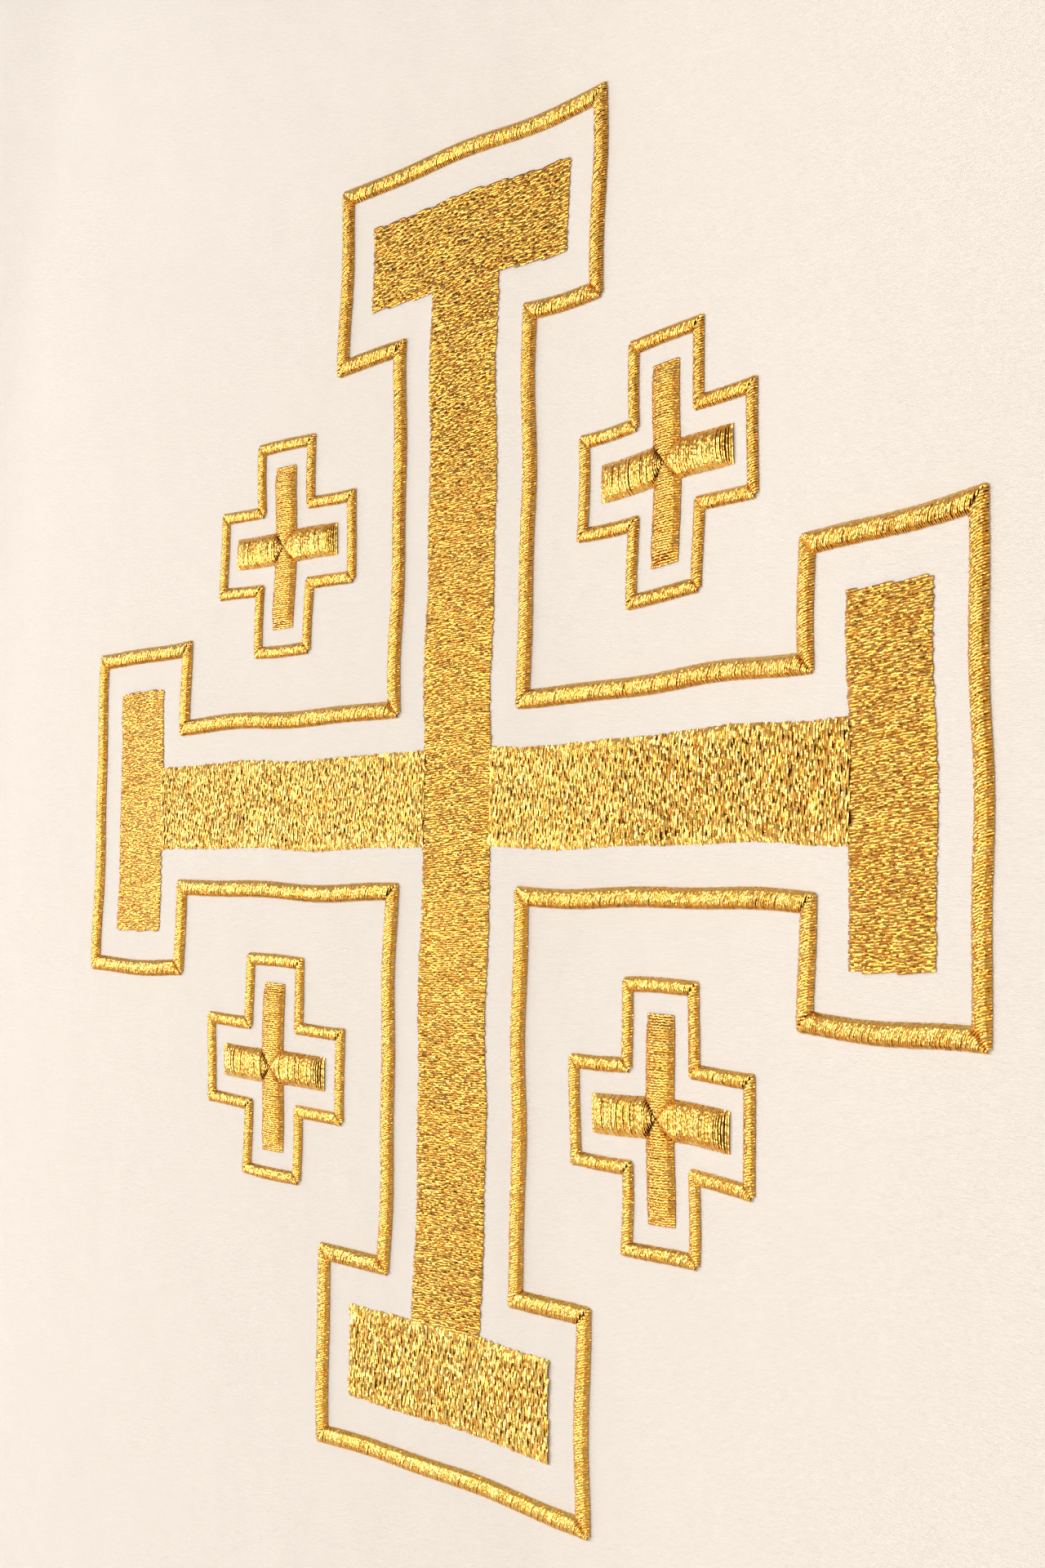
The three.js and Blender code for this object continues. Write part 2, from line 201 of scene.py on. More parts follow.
@dataclass
class Drape:
    """Where the hanging cloth lies: a smooth surface through the rings, with its folds.

    Places are given across a panel, from -1 to 1, and by level, 0 at the neck and 1 at the hem.
    All lengths are millimetres.
    """

    seam_gap: float = 0.3
    hem_growth: float = 0.5
    seam_fade: float = 8.0
    arc_steps: int = 90
    slope_step: float = 1e-3
    half_width: float = 430.0
    length: float = 1150.0
    crease_taper: float = 0.7
    sideways: float = math.pi / 2 - 1e-9

    def ring(self, level: Array) -> dict[str, Array]:
        """Reads the ring table on a smooth curve.

        Args:
            level: the levels wanted.

        Returns:
            One array for each column of the table.
        """
        levels = np.array([ring.level for ring in RINGS])
        row = np.clip(np.searchsorted(levels, level, side="right") - 1, 0, len(RINGS) - 2)
        span = levels[row + 1] - levels[row]
        part = (level - levels[row]) / span
        table = {}
        for column in fields(Ring)[1:]:
            values = np.array([getattr(ring, column.name) for ring in RINGS], float)
            before = np.maximum(np.arange(len(RINGS)) - 1, 0)
            after = np.minimum(np.arange(len(RINGS)) + 1, len(RINGS) - 1)
            slopes = (values[after] - values[before]) / (levels[after] - levels[before])
            rise = values[row + 1] - values[row]
            slope_in = slopes[row] * span
            slope_out = slopes[row + 1] * span
            square = 3 * rise - 2 * slope_in - slope_out
            cube = slope_in + slope_out - 2 * rise
            table[column.name] = values[row] + part * (slope_in + part * (square + part * cube))
        return table

    @staticmethod
    def radius(side: Array, reach: Array, square: Array, turn: Array) -> Array:
        """Distance from the middle of a ring to its edge in a direction.

        Args:
            side: the ring's half width.
            reach: how far it reaches ahead.
            square: how square it is, 2 for an ellipse.
            turn: the direction, in radians from straight ahead.

        Returns:
            The distance for each direction.
        """
        ahead = np.cos(turn) / reach
        aside = np.sin(turn) / side
        return (ahead**square + aside**square) ** (-1 / square)

    def turn(self, ring: dict[str, Array], reach: Array, part: Array) -> Array:
        """Direction of the point that lies a part of the way round from the middle to the seam.

        Args:
            ring: the rings, as arrays.
            reach: how far each ring reaches ahead.
            part: the part of the arc, 0 in the middle of the panel and 1 at the seam.

        Returns:
            The directions, in radians from straight ahead.
        """
        turns = np.linspace(0, self.sideways, self.arc_steps + 1)
        side, square = ring["side"][:, None], ring["square"][:, None]
        radius = self.radius(side, reach[:, None], square, turns[None, :])
        steps = np.hypot(np.diff(radius * np.sin(turns)), np.diff(radius * np.cos(turns)))
        lengths = np.concatenate([np.zeros((len(part), 1)), np.cumsum(steps, axis=1)], axis=1)
        wanted = part * lengths[:, -1]
        step = np.clip((lengths < wanted[:, None]).sum(axis=1) - 1, 0, self.arc_steps - 1)
        rows = np.arange(len(part))
        rest = (wanted - lengths[rows, step]) / (lengths[rows, step + 1] - lengths[rows, step])
        return (step + rest) / self.arc_steps * self.sideways

    def fold(self, side: Side, across: Array, level: Array) -> Array:
        """How far the folds stand out of the plain rings.

        Args:
            side: the panel.
            across: places across the panel.
            level: levels, one for each place.

        Returns:
            The height at each place.
        """
        height = np.zeros_like(across)
        growth = ease(self.hem_growth, 1, level)
        for fold in FRONT_FOLDS if side is Side.FRONT else BACK_FOLDS:
            away = np.minimum(np.abs(across - fold.at) / fold.width, 1)
            size = fold.height + (fold.hem - fold.height) * growth
            height += size * ease(fold.start, fold.full, level) * np.cos(away * np.pi / 2) ** 2
        return height * (1 - np.abs(across) ** self.seam_fade)

    def crease(self, side: Side, across: Array, level: Array) -> Array:
        """How far the smaller creases stand out of the folded cloth.

        Args:
            side: the panel.
            across: places across the panel.
            level: levels, one for each place.

        Returns:
            The height at each place.
        """
        wide, long = self.half_width, self.length
        height = np.zeros_like(across)
        for crease in FRONT_CREASES if side is Side.FRONT else BACK_CREASES:
            start = np.array([crease.across[0] * wide, crease.level[0] * long])
            run = np.array([crease.across[1] * wide, crease.level[1] * long]) - start
            away = np.stack([across * wide - start[0], level * long - start[1]], axis=-1)
            along = np.clip(away @ run / (run @ run), 0, 1)
            near = np.linalg.norm(away - along[..., None] * run, axis=-1) / crease.width
            profile = np.cos(np.minimum(near, 1) * np.pi / 2) ** 2
            height += crease.height * profile * np.sin(np.pi * along) ** self.crease_taper
        return height * (1 - np.abs(across) ** self.seam_fade)

    def point(self, side: Side, across: Array, level: Array, gap: float | None = None,
              creased: bool = False) -> Array:
        """Places on the outer face of the cloth.

        Args:
            side: the panel.
            across: places across the panel.
            level: levels, one for each place.
            gap: the gap at the shoulder seams, or the drape's own.
            creased: whether the small creases are added.

        Returns:
            An array with a row of x, y and z for each place.
        """
        ring = self.ring(level)
        reach = ring["front"] if side is Side.FRONT else ring["back"]
        bottom = ring["z_front"] if side is Side.FRONT else ring["z_back"]
        part = np.abs(across)
        turn = self.turn(ring, reach, part)
        radius = self.radius(ring["side"], reach, ring["square"], turn)
        aside, ahead = radius * np.sin(turn), radius * np.cos(turn)
        out_x = (aside / ring["side"]) ** (ring["square"] - 1) / ring["side"]
        out_y = (ahead / reach) ** (ring["square"] - 1) / reach
        size = np.hypot(out_x, out_y)
        fold = self.fold(side, across, level)
        if creased:
            fold = fold + self.crease(side, across, level)
        gap = self.seam_gap if gap is None else gap
        fall = 0.5 + 0.5 * np.cos(np.pi * part ** ring["fall"])
        return np.stack([
            np.sign(across) * (aside + fold * out_x / size),
            side.value * (ahead + fold * out_y / size + gap / 2),
            ring["z_side"] + (bottom - ring["z_side"]) * fall,
        ], axis=-1)

    def lifted(self, side: Side, across: Array, level: Array, lift: float,
               **kind: object) -> Array:
        """Places at a height over the cloth. The kind of cloth is given as for point().

        Args:
            side: the panel.
            across: places across the panel.
            level: levels, one for each place.
            lift: the height over the cloth.
            kind: the gap and the creases, as for point().

        Returns:
            An array with a row of x, y and z for each place.
        """
        here = self.point(side, across, level, **kind)
        step = self.slope_step
        run = (self.point(side, np.clip(across + step, -1, 1), level, **kind)
               - self.point(side, np.clip(across - step, -1, 1), level, **kind))
        down = self.point(side, across, level + step, **kind) - here
        normal = np.cross(run, down) * side.value
        normal[np.abs(across) == 1, 1] = 0
        normal /= np.linalg.norm(normal, axis=1, keepdims=True)
        return here + normal * lift


DRAPE = Drape()


class Graph:
    """A node tree under construction, for geometry or for a material."""

    def __init__(self, tree: Tree) -> None:
        """Keeps the tree that the nodes go into."""
        self.tree = tree

    def add(self, kind: str, inputs: dict | None = None, **settings: object) -> Node:
        """Adds one node.

        Args:
            kind: Blender's name of the node type.
            inputs: what goes into its sockets, by name or number: a value, a socket or a node.
            settings: the node's own properties.

        Returns:
            The node.
        """
        node = self.tree.nodes.new(kind)
        for name, value in settings.items():
            setattr(node, name, value)
        for name, value in (inputs or {}).items():
            self.feed(node.inputs[name], value)
        return node

    def feed(self, socket: Socket, value: object) -> None:
        """Links a socket or a node's first output to a socket, or sets the socket's value.

        Args:
            socket: the input socket.
            value: a value, a socket or a node.
        """
        if isinstance(value, Node):
            value = value.outputs[0]
        if isinstance(value, Socket):
            self.tree.links.new(value, socket)
        else:
            socket.default_value = value

    def math(self, operation: str, *values: object, clamp: bool = False) -> Socket:
        """Adds a Math node and returns its result.

        Args:
            operation: Blender's name of the operation.
            values: its inputs, in order.
            clamp: whether the result is kept from 0 to 1.

        Returns:
            The result.
        """
        node = self.add("ShaderNodeMath", operation=operation, use_clamp=clamp)
        for socket, value in zip(node.inputs, values):
            self.feed(socket, value)
        return node.outputs[0]

    def vector(self, operation: str, *values: object) -> Socket:
        """Adds a Vector Math node and returns its vector.

        Args:
            operation: Blender's name of the operation.
            values: its inputs, in order.

        Returns:
            The resulting vector.
        """
        node = self.add("ShaderNodeVectorMath", operation=operation)
        for socket, value in zip(node.inputs, values):
            self.feed(socket, value)
        return node.outputs[0]

    def xyz(self, x: object, y: object, z: object) -> Node:
        """Adds a node that makes a vector of its three parts."""
        return self.add("ShaderNodeCombineXYZ", {"X": x, "Y": y, "Z": z})

    def parts(self, vector: object) -> list[Socket]:
        """Adds a node that takes a vector apart and returns its x, y and z."""
        return list(self.add("ShaderNodeSeparateXYZ", {"Vector": vector}).outputs)

    def mix(self, factor: object, first: object, second: object) -> Socket:
        """Adds a mix of two colours and returns its result."""
        node = self.add("ShaderNodeMix", {"Factor": factor, 6: first, 7: second},
                        data_type="RGBA")
        return node.outputs[2]

    def noise(self, vector: object, scale: float, detail: float, roughness: float = 0.5,
              dimensions: str = "2D") -> Node:
        """Adds a noise texture."""
        return self.add("ShaderNodeTexNoise", {
            "Vector": vector, "Scale": scale, "Detail": detail, "Roughness": roughness},
            noise_dimensions=dimensions)

    def bump(self, height: object, strength: float, distance: float, **below: object) -> Node:
        """Adds a bump, on top of another one if that is given as its Normal."""
        return self.add("ShaderNodeBump", {
            "Height": height, "Strength": strength, "Distance": distance, **below})

    def surface(self, inputs: dict) -> None:
        """Ends a material's tree with its surface."""
        shader = self.add("ShaderNodeBsdfPrincipled", inputs)
        self.add("ShaderNodeOutputMaterial", {"Surface": shader})

    def finish_mesh(self, given: Node, shape: Node) -> None:
        """Ends a geometry tree: real, smooth and with the material that it was given.

        Args:
            given: the tree's input node, with the material.
            shape: the last node of the shape.
        """
        real = self.add("GeometryNodeRealizeInstances", {"Geometry": shape})
        smooth = self.add("GeometryNodeSetShadeSmooth", {"Geometry": real, "Shade Smooth": True})
        done = self.add("GeometryNodeSetMaterial", {
            "Geometry": smooth, "Material": given.outputs["Material"]})
        self.add("NodeGroupOutput", {"Geometry": done})


def new_material(name: str) -> tuple[Material, Graph]:
    """Starts a material with an empty tree.

    Args:
        name: the material's name.

    Returns:
        The material and its tree to build on.
    """
    material = bpy.data.materials.new(name)
    material.use_nodes = True
    material.node_tree.nodes.clear()
    return material, Graph(material.node_tree)


@dataclass(frozen=True)
class ClothFinish:
    """Matt cream crepe: a fine cross slub in the weave, a faint ripple and faint shade changes.

    The slub and the thread pitch are in millimetres, the two scales in waves to a metre.
    """

    light: Color = (0.742, 0.682, 0.622, 1)
    dark: Color = (0.705, 0.648, 0.588, 1)
    roughness: float = 0.72
    sheen: float = 0.25
    slub_length: float = 1.6
    slub_pitch: float = 0.26
    thread_pitch: float = 0.34
    shade_scale: float = 14.0
    ripple_scale: float = 42.0

    def material(self, name: str) -> Material:
        """Builds the material, which follows the cloth's own map in metres.

        Args:
            name: the material's name.

        Returns:
            The material.
        """
        material, graph = new_material(name)
        cloth = graph.add("ShaderNodeUVMap", uv_map="cloth")
        slub_map, weave_map = (
            graph.add("ShaderNodeMapping", {
                "Vector": cloth, "Scale": (PER_METRE / wide, PER_METRE / high, 1)})
            for wide, high in ((self.slub_length, self.slub_pitch),
                               (self.thread_pitch, self.thread_pitch)))
        slub = graph.noise(slub_map, 1.0, 2.0, 0.55)
        broad = graph.noise(cloth, self.shade_scale, 3.0)
        ripple = graph.noise(cloth, self.ripple_scale, 2.0)
        weave = graph.add("ShaderNodeTexWave", {
            "Vector": weave_map, "Scale": 0.5, "Distortion": 1.2, "Detail": 1.0,
            "Detail Scale": 1.0},
            wave_type="BANDS", bands_direction="Y")
        tone = graph.math("MULTIPLY_ADD", broad, 0.55, graph.math("MULTIPLY", slub, 0.45))
        relief = graph.math("MULTIPLY_ADD", slub, 0.75, graph.math("MULTIPLY", weave, 0.25))
        bump = graph.bump(relief, 0.8, 0.00016, Normal=graph.bump(ripple, 0.7, 0.0011))
        graph.surface({
            "Base Color": graph.mix(tone, self.dark, self.light), "Roughness": self.roughness,
            "Normal": bump, "Sheen Weight": self.sheen, "Sheen Roughness": 0.45,
            "Specular IOR Level": 0.3})
        return material


@dataclass(frozen=True)
class GoldFinish:
    """Gold metallic thread: foil wound on a core, so each stitch glints in its own way.

    The colour goes from deep to bright by chance. Threads that run across the cloth are multiplied
    by the colour called across: painted shade, standing in for the dimmer light that those threads
    reflect. A facet of foil is a length in millimetres.
    """

    deep: Color = (0.96, 0.47, 0.035, 1)
    bright: Color = (1.0, 0.70, 0.20, 1)
    across: Color = (0.80, 0.68, 0.58, 1)
    roughness: float = 0.24
    coat: float = 0.25
    facet: float = 0.35
    facet_shift: float = 0.37
    glint: float = 0.7

    def material(self, name: str) -> Material:
        """Builds the material, which reads each stitch's own number and the way along it.

        Args:
            name: the material's name.

        Returns:
            The material.
        """
        material, graph = new_material(name)
        strand, along, thread, lay = (
            graph.add("ShaderNodeAttribute", attribute_name=label).outputs["Fac"]
            for label in ("strand", "along", "thread", "lay"))
        turn = graph.math("MULTIPLY_ADD", along, PER_METRE / self.facet,
                          graph.math("MULTIPLY", thread, self.facet_shift))
        foil = graph.add("ShaderNodeTexWhiteNoise", {
            "Vector": graph.xyz(graph.math("FLOOR", turn), thread, 0.0)}, noise_dimensions="2D")
        tilt = graph.vector("SUBTRACT", foil.outputs["Color"], (0.5, 0.5, 0.5))
        tilt = graph.vector("MULTIPLY", tilt, (2 * self.glint,) * 3)
        face = graph.add("ShaderNodeNewGeometry").outputs
        normal = graph.vector("ADD", face["Normal"], face["True Normal"])
        normal = graph.vector("NORMALIZE", graph.vector("ADD", normal, tilt))
        chance = graph.math("MULTIPLY", foil.outputs["Value"], 0.5)
        shade = graph.mix(graph.math("MULTIPLY_ADD", strand, 0.5, chance), self.deep, self.bright)
        # Painted shade: threads that run across the cloth are darkened by the colour called across,
        # in place of the dimmer room light that they reflect.
        painted_across_shade = graph.mix(lay, self.across, (1, 1, 1, 1))
        graph.surface({
            "Base Color": graph.vector("MULTIPLY", shade, painted_across_shade), "Metallic": 1.0,
            "Roughness": self.roughness, "Normal": normal, "Coat Weight": self.coat,
            "Coat Roughness": 0.2, "Coat Normal": normal})
        return material


@dataclass(frozen=True)
class SewingFinish:
    """Cream sewing thread, a little shinier than the cloth."""

    color: Color = (0.88, 0.79, 0.68, 1)
    shadow: float = 0.9
    roughness: float = 0.5
    twist_scale: float = 2600.0

    def material(self, name: str) -> Material:
        """Builds the material, with a fine twist in the thread.

        Args:
            name: the material's name.

        Returns:
            The material.
        """
        material, graph = new_material(name)
        place = graph.add("ShaderNodeTexCoord").outputs["Object"]
        twist = graph.noise(place, self.twist_scale, 1.0, dimensions="3D")
        dark = tuple(self.shadow * part for part in self.color[:3]) + (1,)
        graph.surface({
            "Base Color": graph.mix(twist, dark, self.color), "Roughness": self.roughness,
            "Normal": graph.bump(twist, 0.4, 0.0001), "Sheen Weight": 0.2})
        return material


def new_mesh(name: str, points: Array, faces: list, edges: list | None = None) -> Mesh:
    """Makes a mesh from points in millimetres.

    Args:
        name: the mesh's name.
        points: a row of x, y and z for each point.
        faces: the corners of each face.
        edges: the ends of each loose edge.

    Returns:
        The mesh, in metres.
    """
    mesh = bpy.data.meshes.new(name)
    mesh.from_pydata((np.asarray(points) * MM).tolist(), edges or [], faces)
    mesh.update()
    return mesh


def place(name: str, mesh: Mesh) -> Piece:
    """Puts a mesh into the scene as an object at the origin.

    Args:
        name: the object's name.
        mesh: its mesh.

    Returns:
        The object.
    """
    piece = bpy.data.objects.new(name, mesh)
    bpy.context.scene.collection.objects.link(piece)
    return piece


def run_nodes(name: str, mesh: Mesh, tree: Tree, values: dict) -> Piece:
    """Runs a geometry tree on a mesh and keeps the result as a plain mesh.

    Args:
        name: the finished piece's name.
        mesh: what the tree works on.
        tree: the tree.
        values: a value for each of its named inputs.

    Returns:
        The finished piece, with no modifier left on it.
    """
    piece = place(name, mesh)
    modifier = piece.modifiers.new(tree.name, "NODES")
    modifier.node_group = tree
    for item in tree.interface.items_tree:
        if item.item_type == "SOCKET" and item.in_out == "INPUT" and item.name in values:
            modifier[item.identifier] = values[item.name]
    bpy.context.view_layer.update()
    graph = bpy.context.evaluated_depsgraph_get()
    result = bpy.data.meshes.new_from_object(piece.evaluated_get(graph), depsgraph=graph)
    piece.modifiers.clear()
    result.name = name
    piece.data = result
    bpy.data.meshes.remove(mesh)
    return piece


def geometry_tree(name: str, sockets: list[tuple[str, str]]) -> tuple[Graph, Node]:
    """Starts a geometry tree.

    Args:
        name: the tree's name.
        sockets: the name and kind of each input after the geometry.

    Returns:
        The tree to build on, and its input node.
    """
    tree = bpy.data.node_groups.new(name, "GeometryNodeTree")
    tree.interface.new_socket("Geometry", in_out="INPUT", socket_type="NodeSocketGeometry")
    tree.interface.new_socket("Geometry", in_out="OUTPUT", socket_type="NodeSocketGeometry")
    for label, kind in sockets:
        tree.interface.new_socket(label, in_out="INPUT", socket_type="NodeSocket" + kind)
    graph = Graph(tree)
    return graph, graph.add("NodeGroupInput")


def thread_to_cloth(graph: Graph, given: Node, curve: Node, marks: dict[str, object]) -> None:
    """Gives flat curves a thread's body and lays them on the cloth, as a tree's last steps.

    The curves lie flat, with x across the cloth, y up the cloth and z off the cloth.

    Args:
        graph: the tree.
        given: its input node, with the cloth, the thread's size and the material.
        curve: the curves.
        marks: what the material reads from each point of a thread, by name.
    """
    for name, value in marks.items():
        curve = graph.add("GeometryNodeStoreNamedAttribute", {
            "Geometry": curve, "Name": name, "Value": value}, data_type="FLOAT", domain="POINT")
    curve = graph.add("GeometryNodeSetCurveNormal", {"Curve": curve}, mode="Z_UP")
    ring = graph.add("GeometryNodeCurvePrimitiveCircle", {"Resolution": 3, "Radius": 1.0})
    ring = graph.add("GeometryNodeTransform", {"Geometry": ring, "Rotation": (0, 0, math.pi / 2)})
    size = graph.xyz(graph.math("MULTIPLY", given.outputs["Thread width"], PROFILE_WIDTH),
                     graph.math("MULTIPLY", given.outputs["Thread height"], PROFILE_HEIGHT), 1.0)
    profile = graph.add("GeometryNodeTransform", {"Geometry": ring, "Scale": size})
    thread = graph.add("GeometryNodeCurveToMesh", {
        "Curve": curve, "Profile Curve": profile, "Fill Caps": True})
    across, up, off = graph.parts(graph.add("GeometryNodeInputPosition"))
    cloth = graph.add("GeometryNodeObjectInfo", {"Object": given.outputs["Cloth"]},
                      transform_space="ORIGINAL")
    hit = graph.add("GeometryNodeRaycast", {
        "Target Geometry": cloth.outputs["Geometry"],
        "Source Position": graph.xyz(across, -1.0, up),
        "Ray Direction": (0, 1, 0), "Ray Length": 2.0}).outputs
    lift = graph.add("ShaderNodeVectorMath", {
        0: hit["Hit Normal"], "Scale": off}, operation="SCALE")
    laid = graph.add("GeometryNodeSetPosition", {
        "Geometry": thread, "Position": graph.vector("ADD", hit["Hit Position"], lift)})
    graph.finish_mesh(given, laid)


def satin_tree() -> Tree:
    """Builds the tree for satin stitch: each edge of a mesh becomes one arched thread.

    Returns:
        The tree.
    """
    graph, given = geometry_tree("satin_stitch", [
        ("Cloth", "Object"), ("Thread width", "Float"), ("Thread height", "Float"),
        ("Crest", "Float"), ("Base", "Float"), ("Full length", "Float"), ("Points", "Int"),
        ("Roundness", "Float"), ("Unevenness", "Float"), ("Seed", "Int"), ("Material", "Material")])
    curve = graph.add("GeometryNodeMeshToCurve", {"Mesh": given.outputs["Geometry"]})
    curve = graph.add("GeometryNodeResampleCurve", {
        "Curve": curve, "Count": given.outputs["Points"]}, mode="COUNT")
    factor = graph.add("GeometryNodeSplineParameter").outputs["Factor"]
    length = graph.add("GeometryNodeSplineLength").outputs["Length"]
    number = graph.add("GeometryNodeCurveOfPoint").outputs["Curve Index"]
    chance = graph.add("FunctionNodeRandomValue", {
        2: 0.0, 3: 1.0, "ID": number, "Seed": given.outputs["Seed"]}, data_type="FLOAT")
    strand = chance.outputs[1]
    off_centre = graph.math("ABSOLUTE", graph.math("MULTIPLY_ADD", factor, 2.0, -1.0))
    arch = graph.math("SQRT", graph.math(
        "SUBTRACT", 1.0, graph.math("POWER", off_centre, given.outputs["Roundness"]), clamp=True))
    share = graph.math("MINIMUM", 1.0, graph.math("DIVIDE", length, given.outputs["Full length"]))
    uneven = graph.math("MULTIPLY_ADD", graph.math("SUBTRACT", strand, 0.5),
                        given.outputs["Unevenness"], 1.0)
    rise = graph.add("GeometryNodeInputNamedAttribute", {"Name": "rise"}, data_type="FLOAT")
    crest = graph.math("MULTIPLY", graph.math("POWER", share, 0.5), given.outputs["Crest"])
    crest = graph.math("MULTIPLY", crest, rise.outputs[0])
    height = graph.math("MULTIPLY_ADD", graph.math("MULTIPLY", crest, uneven), arch,
                        given.outputs["Base"])
    raised = graph.add("GeometryNodeSetPosition", {
        "Geometry": curve, "Offset": graph.xyz(0.0, 0.0, height)})
    along = graph.math("MULTIPLY", factor, length)
    # lay: how far each thread runs up the cloth. The gold material uses it to paint shade on
    # threads that run across.
    across, up, _ = graph.parts(graph.add("GeometryNodeInputTangent"))
    run = graph.math("SQRT", graph.math(
        "MULTIPLY_ADD", across, across, graph.math("MULTIPLY", up, up)))
    lay = graph.math("DIVIDE", graph.math("ABSOLUTE", up), run)
    thread_to_cloth(graph, given, raised, {
        "strand": strand, "along": along, "thread": number, "lay": lay})
    return graph.tree


def running_tree() -> Tree:
    """Builds the tree for a line of machine stitches that follows an edge of the cloth.

    Returns:
        The tree.
    """
    graph, given = geometry_tree("running_stitch", [
        ("Pitch", "Float"), ("Stitch", "Float"), ("Thread width", "Float"),
        ("Material", "Material")])
    curve = graph.add("GeometryNodeMeshToCurve", {"Mesh": given.outputs["Geometry"]})
    points = graph.add("GeometryNodeCurveToPoints", {
        "Curve": curve, "Length": given.outputs["Pitch"]}, mode="LENGTH")
    bead = graph.add("GeometryNodeMeshUVSphere", {"Segments": 6, "Rings": 4, "Radius": 1.0})
    half = graph.math("MULTIPLY", given.outputs["Stitch"], 0.5)
    thin = graph.math("MULTIPLY", given.outputs["Thread width"], 0.5)
    shape = graph.add("GeometryNodeTransform", {
        "Geometry": bead, "Scale": graph.xyz(thin, thin, half)})
    turn = graph.add("FunctionNodeAlignEulerToVector", {"Vector": points.outputs["Tangent"]},
                     axis="Z")
    beads = graph.add("GeometryNodeInstanceOnPoints", {
        "Points": points.outputs["Points"], "Instance": shape, "Rotation": turn})
    graph.finish_mesh(given, beads)
    return graph.tree


def dress(piece: Piece, material: Material | None, slot: str, *nodes: str) -> Piece:
    """Gives a piece its material, its place on the body and the solids that it stands for.

    Args:
        piece: the finished piece.
        material: its material, unless a tree has set it.
        slot: the name of a material slot; not used.
        nodes: the solids that it replaces.

    Returns:
        The piece.
    """
    if material is not None:
        piece.data.materials.clear()
        piece.data.materials.append(material)
    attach(piece, "root")
    if nodes:
        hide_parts(*nodes)
    LOG.info("%s: %d faces", piece.name, len(piece.data.polygons))
    return piece


